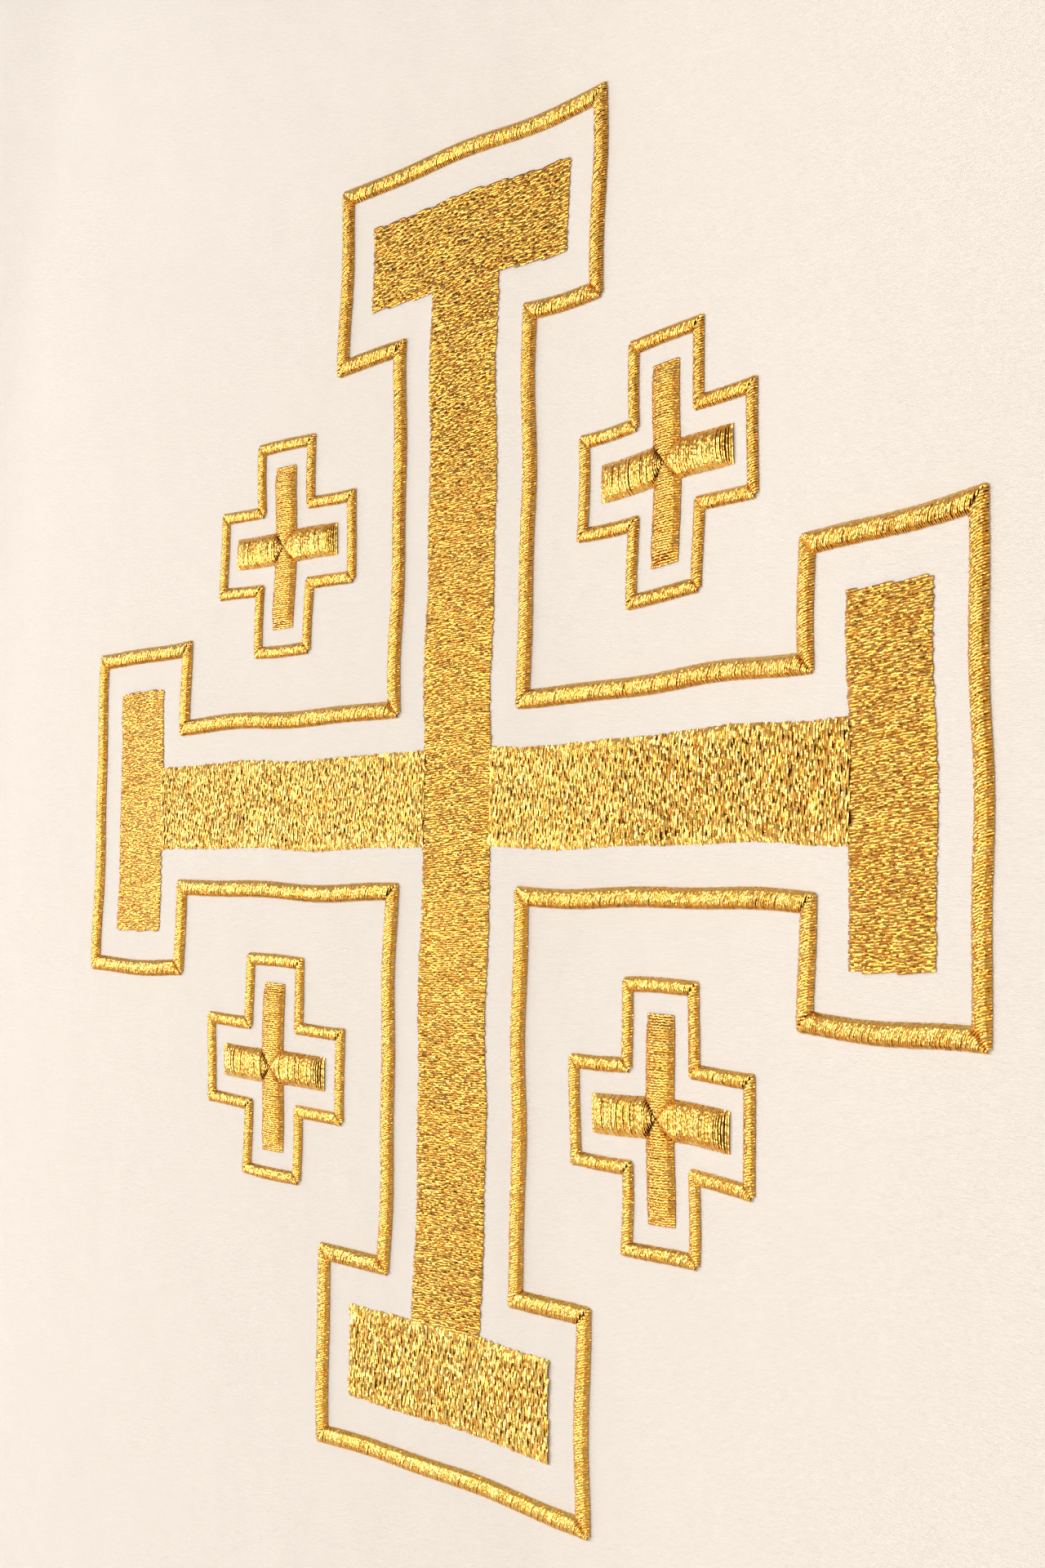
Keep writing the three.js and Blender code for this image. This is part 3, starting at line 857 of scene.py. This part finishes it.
@dataclass
class Panel:
    """The front or the back, one piece of cloth from the neckline to the hem.

    The edges and hem_rows are shares of the panel's half width and length, measured inwards.
    """

    side: Side
    node: str
    columns: int = 190
    rows: int = 150
    thickness: float = 1.2
    hem_depth: float = 20.0
    hem_groove: float = 0.35
    groove_width: float = 1.4
    hem_fullness: float = 0.35
    hem_fade: Pair = (2.0, -3.0)
    hem_turn: float = 0.4
    seam_valley: float = 0.7
    seam_reach: float = 1.6
    body_reach: float = 150.0
    edges: tuple[float, ...] = (0.0, 0.0014, 0.0032, 0.006, 0.010)
    hem_rows: tuple[float, ...] = (0.0, 0.0008, 0.002, 0.010, 0.0145, 0.0165, 0.0185, 0.023)
    edge_room: float = 1.3
    row_room: float = 0.004

    def places(self) -> tuple[Array, Array]:
        """Places across the panel and levels down it, closer together near seams and hem.

        Returns:
            The places and the levels.
        """
        inner = np.linspace(-1, 1, self.columns)
        edge = np.array(self.edges)
        inner = inner[np.abs(inner) < 1 - edge[-1] * self.edge_room]
        across = np.concatenate([edge - 1, inner, 1 - edge[::-1]])
        levels = np.linspace(0, 1, self.rows)
        hem = 1 - np.array(self.hem_rows)
        levels = levels[levels < hem[-1] - self.row_room]
        return across, np.concatenate([levels, hem[::-1]])

    def relief(self, points: Array, across: Array) -> Array:
        """How far the turned hem, its groove and the seam's valley change the outer face.

        Args:
            points: the plain outer face, in rows from neck to hem.
            across: the place across the panel of each point.

        Returns:
            The change at each point, outwards.
        """
        from_hem = np.cumsum(np.linalg.norm(np.diff(points[::-1], axis=0), axis=-1), axis=0)
        from_hem = np.concatenate([np.zeros((1, points.shape[1])), from_hem])[::-1]
        away = (from_hem - self.hem_depth) / self.groove_width
        groove = self.hem_groove * np.exp(-(away ** 2))
        start, end = (self.hem_depth + fade for fade in self.hem_fade)
        fullness = self.hem_fullness * ease(start, end, from_hem)
        from_seam = (1 - np.abs(across)) * DRAPE.half_width
        valley = self.seam_valley * np.exp(-((from_seam / self.seam_reach) ** 2))
        return fullness - groove - valley

    def outer(self) -> tuple[Array, Array, Array]:
        """Works out the outer face.

        Returns:
            The points in rows from neck to hem, the outward normals and the cloth's flat map.
        """
        across, levels = self.places()
        grid_across, grid_level = np.meshgrid(across, levels)
        shape = grid_across.shape
        points = DRAPE.point(self.side, grid_across.ravel(), grid_level.ravel(), creased=True)
        points = points.reshape(*shape, 3)
        along = np.gradient(points, axis=1)
        down = np.gradient(points, axis=0)
        normals = np.cross(down, along) * -self.side.value
        normals *= np.sign((normals * points * np.array([1, 1, 0])).sum())
        normals[:, [0, -1], 1] = 0
        normals /= np.linalg.norm(normals, axis=-1, keepdims=True)
        points = points + normals * self.relief(points, grid_across)[..., None]
        steps = np.hypot(*np.moveaxis(np.diff(points[..., :2], axis=1), -1, 0))
        arc = np.concatenate([np.zeros((shape[0], 1)), np.cumsum(steps, axis=1)], axis=1)
        middle = np.array([np.interp(0, across, row) for row in arc])
        ring = DRAPE.ring(levels)
        reach = ring["front"] if self.side is Side.FRONT else ring["back"]
        rise = np.maximum(0, self.body_reach - reach)
        flat = np.stack([arc - middle[:, None], points[..., 2] + rise[:, None]], axis=-1)
        return points, normals, flat

    def build(self) -> Piece:
        """Makes the cloth as a thin wall with turned edges and its own flat map.

        Returns:
            The piece.
        """
        outer, normals, flat = self.outer()
        rows, columns = outer.shape[:2]
        turned = outer - normals * self.thickness / 2
        inner = outer - normals * self.thickness
        down = outer[-1] - outer[-3]
        turned[-1] += down / np.linalg.norm(down, axis=-1, keepdims=True) * self.hem_turn
        number = np.arange(rows * columns).reshape(rows, columns)
        back = number + rows * columns
        loop = ([(0, c) for c in range(columns)] + [(r, columns - 1) for r in range(1, rows)]
                + [(rows - 1, c) for c in range(columns - 2, -1, -1)]
                + [(r, 0) for r in range(rows - 2, 0, -1)])
        first = 2 * rows * columns
        points = np.concatenate([outer.reshape(-1, 3), inner.reshape(-1, 3),
                                 np.array([turned[at] for at in loop])])
        quads = np.stack([number[:-1, :-1], number[1:, :-1], number[1:, 1:], number[:-1, 1:]],
                         axis=-1).reshape(-1, 4)
        faces = quads.tolist() + (quads[:, ::-1] + rows * columns).tolist()
        for i, here in enumerate(loop):
            j = (i + 1) % len(loop)
            there = loop[j]
            faces.append([int(number[here]), int(number[there]), first + j, first + i])
            faces.append([first + i, first + j, int(back[there]), int(back[here])])
        places = np.concatenate([flat.reshape(-1, 2), flat.reshape(-1, 2),
                                 np.array([flat[at] for at in loop])])
        return cloth_piece(self.node, points, faces, places)


def cloth_piece(node: str, points: Array, faces: list, flat: Array) -> Piece:
    """Makes a smooth, closed piece of cloth.

    Args:
        node: the solid that it stands for.
        points: a row of x, y and z for each point.
        faces: the corners of each face.
        flat: each point's place on the flat cloth.

    Returns:
        The piece, with its flat map and its faces outwards.
    """
    mesh = new_mesh(node, points, faces)
    layer = mesh.uv_layers.new(name="cloth")
    corners = np.empty(len(mesh.loops), np.int32)
    mesh.loops.foreach_get("vertex_index", corners)
    layer.data.foreach_set("uv", (flat * MM)[corners].ravel())
    mesh.polygons.foreach_set("use_smooth", [True] * len(mesh.polygons))
    piece = place(node + "_cloth", mesh)
    face_outwards(piece)
    return piece


def face_outwards(piece: Piece) -> None:
    """Turns the faces of a closed piece so that they point outwards.

    Args:
        piece: the piece.
    """
    mesh = piece.data
    mesh.calc_loop_triangles()
    points = np.empty(len(mesh.vertices) * 3)
    mesh.vertices.foreach_get("co", points)
    points = points.reshape(-1, 3)
    corners = np.empty(len(mesh.loop_triangles) * 3, np.int32)
    mesh.loop_triangles.foreach_get("vertices", corners)
    a, b, c = (points[corners.reshape(-1, 3)[:, i]] for i in range(3))
    if np.einsum("ij,ij->i", a, np.cross(b, c)).sum() < 0:
        mesh.flip_normals()


@dataclass
class NeckBand:
    """The folded strip that binds the neckline all round."""

    around: int = 200
    thickness: float = 2.2
    proud: float = 0.5
    level: float = -0.04
    end_level: float = -0.0005
    section: int = 14
    flat_half: float = 11.0
    edge_power: float = 0.35
    face_power: float = 0.5

    def build(self) -> Piece:
        """Makes the band as one closed loop with rounded edges.

        Returns:
            The piece.
        """
        half = self.around // 2
        across = {side: side.value * (1 - 2 * np.arange(half) / half) for side in Side}
        turns = np.arange(self.section) / self.section * 2 * math.pi
        middle_level = (self.level + self.end_level) / 2
        reach = (self.end_level - self.level) / 2
        loops = []
        for turn in turns:
            aside, out = math.cos(turn), math.sin(turn)
            level = middle_level + reach * np.sign(aside) * abs(aside) ** self.edge_power
            lift = self.proud - self.thickness / 2 + self.thickness / 2 * (
                np.sign(out) * abs(out) ** self.face_power)
            loops.append(np.concatenate([
                DRAPE.lifted(side, part, np.full(half, level), lift, gap=0.0)
                for side, part in across.items()]))
        faces = []
        for i in range(self.section):
            j = (i + 1) % self.section
            for k in range(self.around):
                m = (k + 1) % self.around
                faces.append([i * self.around + k, i * self.around + m,
                              j * self.around + m, j * self.around + k])
        lengths = np.linalg.norm(np.diff(loops[0], axis=0, append=loops[0][:1]), axis=1)
        run = np.concatenate([[0], np.cumsum(lengths)[:-1]])
        flat = np.concatenate([
            np.stack([run, np.full(self.around, self.flat_half * math.cos(turn))], axis=-1)
            for turn in turns])
        return cloth_piece("neck_band", np.concatenate(loops), faces, flat)


def hatch(corners: list[Pair], slant: float, pitch: float, upright: bool,
          shortest: float = 0.5, clear: float = 0.01) -> list[Line]:
    """Fills a convex outline with parallel lines.

    Args:
        corners: the outline, in order.
        slant: how far the lines lean, as a rise over a run.
        pitch: the distance between lines.
        upright: whether the lines run up the cloth, or across it.
        shortest: the length under which a line is left out.
        clear: the least distance from the outline's own ends, in pitches.

    Returns:
        The two ends of each line.
    """
    outline = np.array(corners, float)
    if not upright:
        outline = outline[:, ::-1]
    place_of = outline[:, 0] - slant * outline[:, 1]
    lines = []
    first = math.ceil(place_of.min() / pitch + clear)
    last = math.floor(place_of.max() / pitch - clear)
    for number in range(first, last + 1):
        at = number * pitch
        ends = []
        for i in range(len(outline)):
            j = (i + 1) % len(outline)
            here, there = place_of[i] - at, place_of[j] - at
            if here * there < 0 or (here == 0 and there != 0):
                ends.append(outline[i] + (outline[j] - outline[i]) * here / (here - there))
        if len(ends) == 2 and np.linalg.norm(ends[1] - ends[0]) > shortest:
            ends.sort(key=lambda end: end[1])
            if not upright:
                ends = [end[::-1] for end in ends]
            lines.append((tuple(ends[0]), tuple(ends[1])))
    return lines


@dataclass(frozen=True)
class Waver:
    """Two sine waves that sway a line of stitches. The second one leans. Lengths are in mm."""

    long: float
    start: float
    short: float
    lean: float
    share: float = 0.6

    def at(self, along: Array, aside: Array) -> Array:
        """Adds up the two waves at each place."""
        return (np.sin(along / self.long + self.start)
                + self.share * np.sin(along / self.short + aside / self.lean))


def pulled(flat: Array, size: float = 0.36) -> Array:
    """Shifts flat places by up to half a millimetre, as stitches pull the cloth out of true.

    Args:
        flat: a row of x and y for each place, in mm.
        size: how far the waves reach.

    Returns:
        The shifted places.
    """
    x, y = flat[:, 0], flat[:, 1]
    shift = np.stack([Waver(11.0, 0.6, 5.3, 17).at(y, x),
                      Waver(12.5, 2.0, 6.1, 19).at(x, y)], axis=-1)
    return flat + size * shift


def edge_mesh(name: str, lines: list, centre: Pair, jitter: float, seed: int,
              rises: list | None = None) -> Mesh:
    """Makes a mesh of loose edges, each with a small chance shift along itself.

    Args:
        name: the mesh's name.
        lines: the two ends of each edge.
        centre: what the ends are measured from.
        jitter: the largest shift of an end.
        seed: the seed of the chance shifts.
        rises: the share of the full height that each thread reaches, or none for all of it.

    Returns:
        The mesh, flat, with x across the cloth and y up the cloth.
    """
    ends = np.array(lines, float)
    chance = np.random.default_rng(seed)
    run = ends[:, 1] - ends[:, 0]
    run /= np.linalg.norm(run, axis=1, keepdims=True)
    ends[:, 0] -= run * chance.uniform(0, jitter, (len(ends), 1))
    ends[:, 1] += run * chance.uniform(0, jitter, (len(ends), 1))
    flat = pulled(ends.reshape(-1, 2) + np.array(centre))
    points = np.concatenate([flat, np.zeros((len(flat), 1))], axis=1)
    edges = [(2 * i, 2 * i + 1) for i in range(len(ends))]
    mesh = new_mesh(name, points, [], edges)
    layer = mesh.attributes.new("rise", "FLOAT", "POINT")
    layer.data.foreach_set("value", np.repeat(np.ones(len(ends)) if rises is None else rises, 2))
    return mesh


@dataclass(frozen=True)
class Brickwork:
    """Short stitches that divide long rows and meet at shifted places, like bricks.

    The stitch is a length in mm and the ragged ends run from the first to the second length.
    The rest are shares of a stitch: the shift of each row from the last, the largest chance
    difference of a row and of a stitch, and the shortest stitch.
    """

    stitch: float = 3.9
    shift: float = 0.37
    row_chance: float = 0.16
    stitch_chance: float = 0.2
    shortest: float = 0.3
    ragged: Pair = (-0.3, 0.1)

    def divide(self, rows: list, seed: int) -> list:
        """Divides the rows.

        Args:
            rows: the two ends of each row.
            seed: the seed of the chance differences.

        Returns:
            The two ends of each stitch.
        """
        chance = np.random.default_rng(seed)
        least = self.shortest * self.stitch
        stitches = []
        for number, row in enumerate(rows):
            start, end = np.array(row[0]), np.array(row[1])
            length = np.linalg.norm(end - start)
            first = number * self.shift + chance.uniform(-self.row_chance, self.row_chance)
            places = np.arange(first % 1 * self.stitch, length, self.stitch)
            places = places + chance.uniform(
                -self.stitch_chance, self.stitch_chance, len(places)) * self.stitch
            places = places[(places > least) & (places < length - least)]
            ragged = chance.uniform(*self.ragged, 2)
            places = np.concatenate([[ragged[0]], places, [length - ragged[1]]]) / length
            points = start + (end - start) * places[:, None]
            stitches += list(zip(points[:-1], points[1:]))
        return stitches


def rectilinear_loop(corners: list[Pair]) -> list[Pair]:
    """Turns the outline of one arm by quarter turns into the outline of a whole cross.

    Args:
        corners: the corners of the arm that points up.

    Returns:
        The corners of the cross, in order.
    """
    whole = []
    for quarter in range(4):
        turn = Matrix.Rotation(-quarter * math.pi / 2, 2)
        whole += [tuple(turn @ Vector(corner)) for corner in corners]
    return whole


@dataclass(frozen=True)
class Look:
    """How the threads of one kind of stitch rise from the cloth and shine.

    The lengths are in mm: the crest over the base, the full length that earns the whole crest,
    the largest chance shift of an end, and the thread's width.
    """

    gold: Material
    crest: float
    full: float
    points: int
    roundness: float = 2.2
    uneven: float = 0.16
    base: float = 0.12
    jitter: float = 0.12
    width: float = 0.56


@dataclass
class Stitching:
    """What all the embroidery shares: the cloth under it, its thread and its tree."""

    cloth: Piece
    satin_gold: Material
    fill_gold: Material
    satin: Tree = field(default_factory=satin_tree)
    pitch: float = 0.48
    thread_height: float = 0.34

    def sew(self, name: str, lines: list, centre: Pair, look: Look,
            seed: int, rises: list | None = None) -> Piece:
        """Sews one thread along each line.

        Args:
            name: the piece's name.
            lines: the two ends of each line, from the middle of the shape.
            centre: the middle of the shape on the cloth.
            look: how the threads rise and shine.
            seed: the seed of the chance differences.
            rises: the share of the full height that each thread reaches, or none for all of it.

        Returns:
            The stitched piece.
        """
        mesh = edge_mesh(name, lines, centre, look.jitter, seed, rises)
        return run_nodes(name, mesh, self.satin, {
            "Cloth": self.cloth, "Thread width": look.width * MM,
            "Thread height": self.thread_height * MM, "Crest": look.crest * MM,
            "Base": look.base * MM, "Full length": look.full * MM, "Points": look.points,
            "Roundness": look.roundness, "Unevenness": look.uneven, "Seed": seed,
            "Material": look.gold})


@dataclass
class Cord:
    """A raised satin cord round a shape, with mitred corners."""

    name: str
    path: list[Pair]
    centre: Pair
    seed: int
    width: float = 3.5
    crest: float = 1.1
    slant: float = 0.42

    def build(self, stitching: Stitching) -> Piece:
        """Lays the cord's stitches between the mitres of each straight stretch.

        Args:
            stitching: what all the embroidery shares.

        Returns:
            The piece.
        """
        half = self.width / 2
        count = len(self.path)
        lines = []
        for i in range(count):
            start, end = Vector(self.path[i]), Vector(self.path[(i + 1) % count])
            before, after = Vector(self.path[i - 1]), Vector(self.path[(i + 2) % count])
            run = (end - start).normalized()
            left = Vector((-run.y, run.x))
            turn_in = (start - before).normalized()
            turn_out = (after - end).normalized()
            lean_in = half * (1 if turn_in.cross(run) > 0 else -1)
            lean_out = half * (1 if run.cross(turn_out) > 0 else -1)
            outline = [start + left * half + run * lean_in, end + left * half - run * lean_out,
                       end - left * half + run * lean_out, start - left * half - run * lean_in]
            upright = abs(run.x) > abs(run.y)
            lines += hatch([tuple(corner) for corner in outline], self.slant,
                           stitching.pitch, upright)
        look = Look(stitching.satin_gold, self.crest, self.width * math.hypot(1, self.slant),
                    points=7)
        return stitching.sew(self.name + "_stitches", lines, self.centre, look, self.seed)


@dataclass
class SmallCross:
    """A small cross of two padded satin bars that meet in a mitre."""

    name: str
    centre: Pair
    seed: int
    half: float = 18.8
    stem_half: float = 3.65
    crest: float = 1.45
    end_round: float = 3.2
    least_rise: float = 0.1
    span_power: float = -0.3

    def build(self, stitching: Stitching) -> Piece:
        """Fills each arm from its end to the mitre in the middle.

        Args:
            stitching: what all the embroidery shares.

        Returns:
            The piece.
        """
        arm = [(0, 0), (self.stem_half, self.stem_half), (self.stem_half, self.half),
               (-self.stem_half, self.half), (-self.stem_half, self.stem_half)]
        lines = []
        for quarter in range(4):
            turn = Matrix.Rotation(quarter * math.pi / 2, 2)
            outline = [tuple(turn @ Vector(corner)) for corner in arm]
            lines += hatch(outline, 0.0, stitching.pitch, quarter % 2 == 1)
        from_end = np.array([self.half - max(abs(value) for value in line[0]) for line in lines])
        rises = np.sin(np.clip(from_end / self.end_round, self.least_rise, 1) * math.pi / 2)
        spans = np.array([math.dist(*line) for line in lines])
        rises *= (spans / (2 * self.stem_half)) ** self.span_power
        look = Look(stitching.satin_gold, self.crest, 2 * self.stem_half, points=10)
        return stitching.sew(self.name + "_stitches", lines, self.centre, look, self.seed, rises)


@dataclass
class PotentCross:
    """The large cross with a T bar at the end of each arm, in flat filling stitch."""

    centre: Pair
    end: float = 128.4
    bar_depth: float = 19.0
    bar_half: float = 30.2
    stem_half: float = 9.95
    crest: float = 0.32
    lean: float = 0.06
    seed: int = 11
    bricks: Brickwork = Brickwork()

    def build(self, stitching: Stitching) -> Piece:
        """Fills the stem and the bars, each with threads that run across it.

        Args:
            stitching: what all the embroidery shares.

        Returns:
            The piece.
        """
        inner = self.end - self.bar_depth
        stem, bar, end = self.stem_half, self.bar_half, self.end
        boxes = [
            ((-stem, -inner), (stem, inner), False), ((-inner, -stem), (-stem, stem), True),
            ((stem, -stem), (inner, stem), True), ((-bar, inner), (bar, end), False),
            ((-bar, -end), (bar, -inner), True), ((inner, -bar), (end, bar), False),
            ((-end, -bar), (-inner, bar), False),
        ]
        lines = []
        for (left, low), (right, high), upright in boxes:
            outline = [(left, low), (right, low), (right, high), (left, high)]
            lines += hatch(outline, self.lean, stitching.pitch, upright)
        look = Look(stitching.fill_gold, self.crest, self.bricks.stitch, points=5, roundness=3.0,
                    uneven=0.5, base=0.14, jitter=0.28, width=0.68)
        stitches = self.bricks.divide(lines, self.seed)
        return stitching.sew("potent_cross_stitches", stitches, self.centre, look, self.seed)


@dataclass
class Embroidery:
    """The whole gold cross on the front."""

    stitching: Stitching
    height: float = -465.0
    cord_end: float = 138.2
    cord_depth: float = 39.0
    cord_half: float = 39.6
    cord_stem: float = 19.9
    small_offset: float = 60.3
    small_half: float = 24.2
    small_stem: float = 9.35
    small_width: float = 2.5
    small_crest: float = 0.8

    def build(self) -> list[Piece]:
        """Makes each stitched piece in turn, with the solid that it stands for.

        Returns:
            The stitched pieces.
        """
        end, bar, stem = self.cord_end, self.cord_half, self.cord_stem
        step = end - self.cord_depth
        centre = (0.0, self.height)
        arm = [(-stem, stem), (-stem, step), (-bar, step), (-bar, end),
               (bar, end), (bar, step), (stem, step)]
        pieces = [
            dress(PotentCross(centre).build(self.stitching), None, "gold_thread", "potent_cross"),
            dress(Cord("potent_cord", rectilinear_loop(arm), centre, 3).build(self.stitching),
                  None, "gold_thread", "potent_cord"),
        ]
        small = [(-self.small_stem, self.small_stem), (-self.small_stem, self.small_half),
                 (self.small_stem, self.small_half)]
        corners = {"upper_right": (1, 1), "upper_left": (-1, 1),
                   "lower_left": (-1, -1), "lower_right": (1, -1)}
        for seed, (corner, (x, z)) in enumerate(corners.items(), start=20):
            middle = (x * self.small_offset, self.height + z * self.small_offset)
            cross = SmallCross("small_cross_" + corner, middle, seed)
            cord = Cord("small_cord_" + corner, rectilinear_loop(small), middle, seed + 10,
                        self.small_width, self.small_crest)
            for made in (cross, cord):
                pieces.append(dress(made.build(self.stitching), None, "gold_thread", made.name))
        return pieces


@dataclass
class RunningStitch:
    """A line of cream machine stitches along each hem."""

    thread: Material
    tree: Tree = field(default_factory=running_tree)
    pitch: float = 3.0
    stitch: float = 2.5
    width: float = 0.5
    depth: float = 20.0
    lift: float = 0.1
    steps: int = 900
    reach: float = 0.995
    rounds: int = 6

    def hem(self, side: Side, name: str) -> Piece:
        """Sews the hem of one panel, at its own depth above the edge.

        Args:
            side: the panel.
            name: the piece's name.

        Returns:
            The piece.
        """
        across = np.linspace(-self.reach, self.reach, self.steps)
        level = np.full(self.steps, 1.0)
        edge = DRAPE.point(side, across, np.ones(self.steps), creased=True)
        for _ in range(self.rounds):
            here = DRAPE.point(side, across, level, creased=True)
            away = np.linalg.norm(edge - here, axis=1)
            level -= (self.depth - away) / DRAPE.length
        points = DRAPE.lifted(side, across, level, self.lift, creased=True)
        edges = [(i, i + 1) for i in range(len(points) - 1)]
        return run_nodes(name, new_mesh(name, points, [], edges), self.tree, {
            "Pitch": self.pitch * MM, "Stitch": self.stitch * MM, "Thread width": self.width * MM,
            "Material": self.thread})


@dataclass(frozen=True)
class SoftBox:
    """A soft light: where it stands and its width and height in metres, and its watts."""

    name: str
    spot: Triple
    size: Pair
    power: float
    aim: Triple = (0.0, -0.15, -0.5)
    color: Triple = (1.0, 0.98, 0.96)

    def hang(self) -> None:
        """Puts the light into the scene, where the camera doesn't see it."""
        data = bpy.data.lights.new(self.name, "AREA")
        data.shape = "RECTANGLE"
        data.size, data.size_y = self.size
        data.energy = self.power
        data.color = self.color
        light = bpy.data.objects.new(self.name, data)
        light.location = self.spot
        way = Vector(self.aim) - Vector(self.spot)
        light.rotation_euler = way.to_track_quat("-Z", "Y").to_euler()
        light.visible_camera = False
        bpy.context.scene.collection.objects.link(light)


@dataclass(frozen=True)
class Lobe:
    """A soft patch of light in the room: its way, its strength and how fast it falls off."""

    way: Triple
    strength: float
    spread: float

    def add(self, graph: Graph, way: Socket) -> Socket:
        """Adds the patch's nodes. Their result is 1 in its own way and falls off round it.

        Args:
            graph: the room's tree.
            way: the socket with the way looked in.

        Returns:
            The result of the nodes.
        """
        towards = graph.add("ShaderNodeVectorMath", {
            0: way, 1: tuple(Vector(self.way).normalized())}, operation="DOT_PRODUCT")
        fall = graph.math("SUBTRACT", towards.outputs["Value"], 1.0)
        return graph.math("EXPONENT", graph.math("MULTIPLY", fall, self.spread))


@dataclass
class Studio:
    """A plain pale floor, soft lights and the camera of the close-up."""

    cross_centre: Triple = (0.0, -150.1, -465.0)
    camera_offset: Triple = (277.8, -257.5, -18.3)
    turn: float = 45.1
    rise: float = 3.26
    roll: float = 0.91
    focal_pixels: float = 2224.0
    frame_height: float = 1920.0
    film: float = 36.0
    floor_level: float = -1245.0
    floor_half: float = 6000.0
    floor_color: Color = (0.82, 0.80, 0.77, 1)
    room_color: Color = (1.0, 0.975, 0.94, 1)
    room_light: float = 0.44
    dim_above: float = 0.18
    window: Lobe = Lobe((-0.52, -0.86, 0.0), 4.1, 5.5)
    window_level: float = -0.14
    window_height: float = 0.30
    behind: Lobe = Lobe((0.55, 0.80, 0.25), 0.7, 1.5)
    boxes: tuple[SoftBox, ...] = (
        SoftBox("side", (-1.05, -1.1, -0.55), (1.4, 0.7), 10.5),
        SoftBox("lamp", (0.45, -1.9, -0.7), (0.22, 0.22), 3.8),
    )

    def camera(self) -> None:
        """Sets up the camera beside the cross."""
        turn, rise, roll = (math.radians(angle) for angle in (self.turn, self.rise, self.roll))
        ahead = Vector((-math.sin(turn) * math.cos(rise), math.cos(turn) * math.cos(rise),
                        math.sin(rise)))
        right = ahead.cross(Vector((0, 0, 1))).normalized()
        up = right.cross(ahead)
        level_right, level_up = right.copy(), up.copy()
        right = level_right * math.cos(roll) + level_up * math.sin(roll)
        up = level_up * math.cos(roll) - level_right * math.sin(roll)
        data = bpy.data.cameras.new("camera")
        data.sensor_fit = "VERTICAL"
        data.sensor_height = self.film
        data.lens = self.focal_pixels * self.film / self.frame_height
        data.clip_start = 0.01
        camera = bpy.data.objects.new("camera", data)
        axes = Matrix((right, up, -ahead)).transposed().to_4x4()
        spot = (Vector(self.cross_centre) + Vector(self.camera_offset)) * MM
        camera.matrix_world = Matrix.Translation(spot) @ axes
        bpy.context.scene.collection.objects.link(camera)
        bpy.context.scene.camera = camera

    def floor(self) -> None:
        """Lays a wide pale floor below the hem."""
        low, wide = self.floor_level, self.floor_half
        mesh = new_mesh("floor", np.array([
            (-wide, -wide, low), (wide, -wide, low), (wide, wide, low), (-wide, wide, low)]),
            [[0, 1, 2, 3]])
        floor = place("floor", mesh)
        material = bpy.data.materials.new("floor")
        material.use_nodes = True
        shader = material.node_tree.nodes["Principled BSDF"]
        shader.inputs["Base Color"].default_value = self.floor_color
        shader.inputs["Roughness"].default_value = 0.8
        mesh.materials.append(material)

    def world(self) -> None:
        """Fills the room with pale light, dim overhead, with a soft window in front."""
        world = bpy.data.worlds.new("room")
        world.use_nodes = True
        world.node_tree.nodes.clear()
        graph = Graph(world.node_tree)
        way = graph.add("ShaderNodeTexCoord").outputs["Generated"]
        up = graph.parts(way)[2]
        room = graph.math("MULTIPLY_ADD", up, -self.dim_above, self.room_light)
        off = graph.math("DIVIDE", graph.math("SUBTRACT", up, self.window_level),
                         self.window_height)
        square = graph.math("MULTIPLY", off, off)
        band = graph.math("EXPONENT", graph.math("MULTIPLY", square, -0.5))
        window = graph.math("MULTIPLY", band, self.window.add(graph, way))
        level = graph.math("MULTIPLY_ADD", window, self.window.strength, room)
        level = graph.math("MULTIPLY_ADD", self.behind.add(graph, way), self.behind.strength, level)
        back = graph.add("ShaderNodeBackground", {"Color": self.room_color, "Strength": level})
        graph.add("ShaderNodeOutputWorld", {"Surface": back})
        bpy.context.scene.world = world

    def build(self) -> None:
        """Sets up the whole studio."""
        bpy.context.scene.view_settings.view_transform = "Standard"
        self.floor()
        self.world()
        for box in self.boxes:
            box.hang()


def main() -> None:
    """Builds the chasuble piece by piece, then the studio round it."""
    logging.basicConfig(level=logging.INFO, format="%(message)s")
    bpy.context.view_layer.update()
    cream = ClothFinish().material("cream_crepe")
    thread = SewingFinish().material("cream_thread")
    satin_gold = GoldFinish(glint=0.62).material("gold_satin")
    # The filling's across colour is darker still: more painted shade on threads that run across the
    # cloth.
    fill_gold = GoldFinish(
        across=(0.70, 0.59, 0.42, 1), glint=0.8, facet=0.75).material("gold_filling")

    front = dress(Panel(Side.FRONT, "front_panel").build(), cream, "cloth", "front_panel")
    back = dress(Panel(Side.BACK, "back_panel").build(), cream, "cloth", "back_panel")
    band = dress(NeckBand().build(), cream, "cloth", "neck_band")
    stitches = Embroidery(Stitching(front, satin_gold, fill_gold)).build()

    sewing = RunningStitch(thread)
    hem_front = dress(sewing.hem(Side.FRONT, "front_hem_stitches"), None, "cloth")
    hem_back = dress(sewing.hem(Side.BACK, "back_hem_stitches"), None, "cloth")

    studio = Studio()
    studio.camera()
    studio.build()


if __name__ == "__main__":
    main()
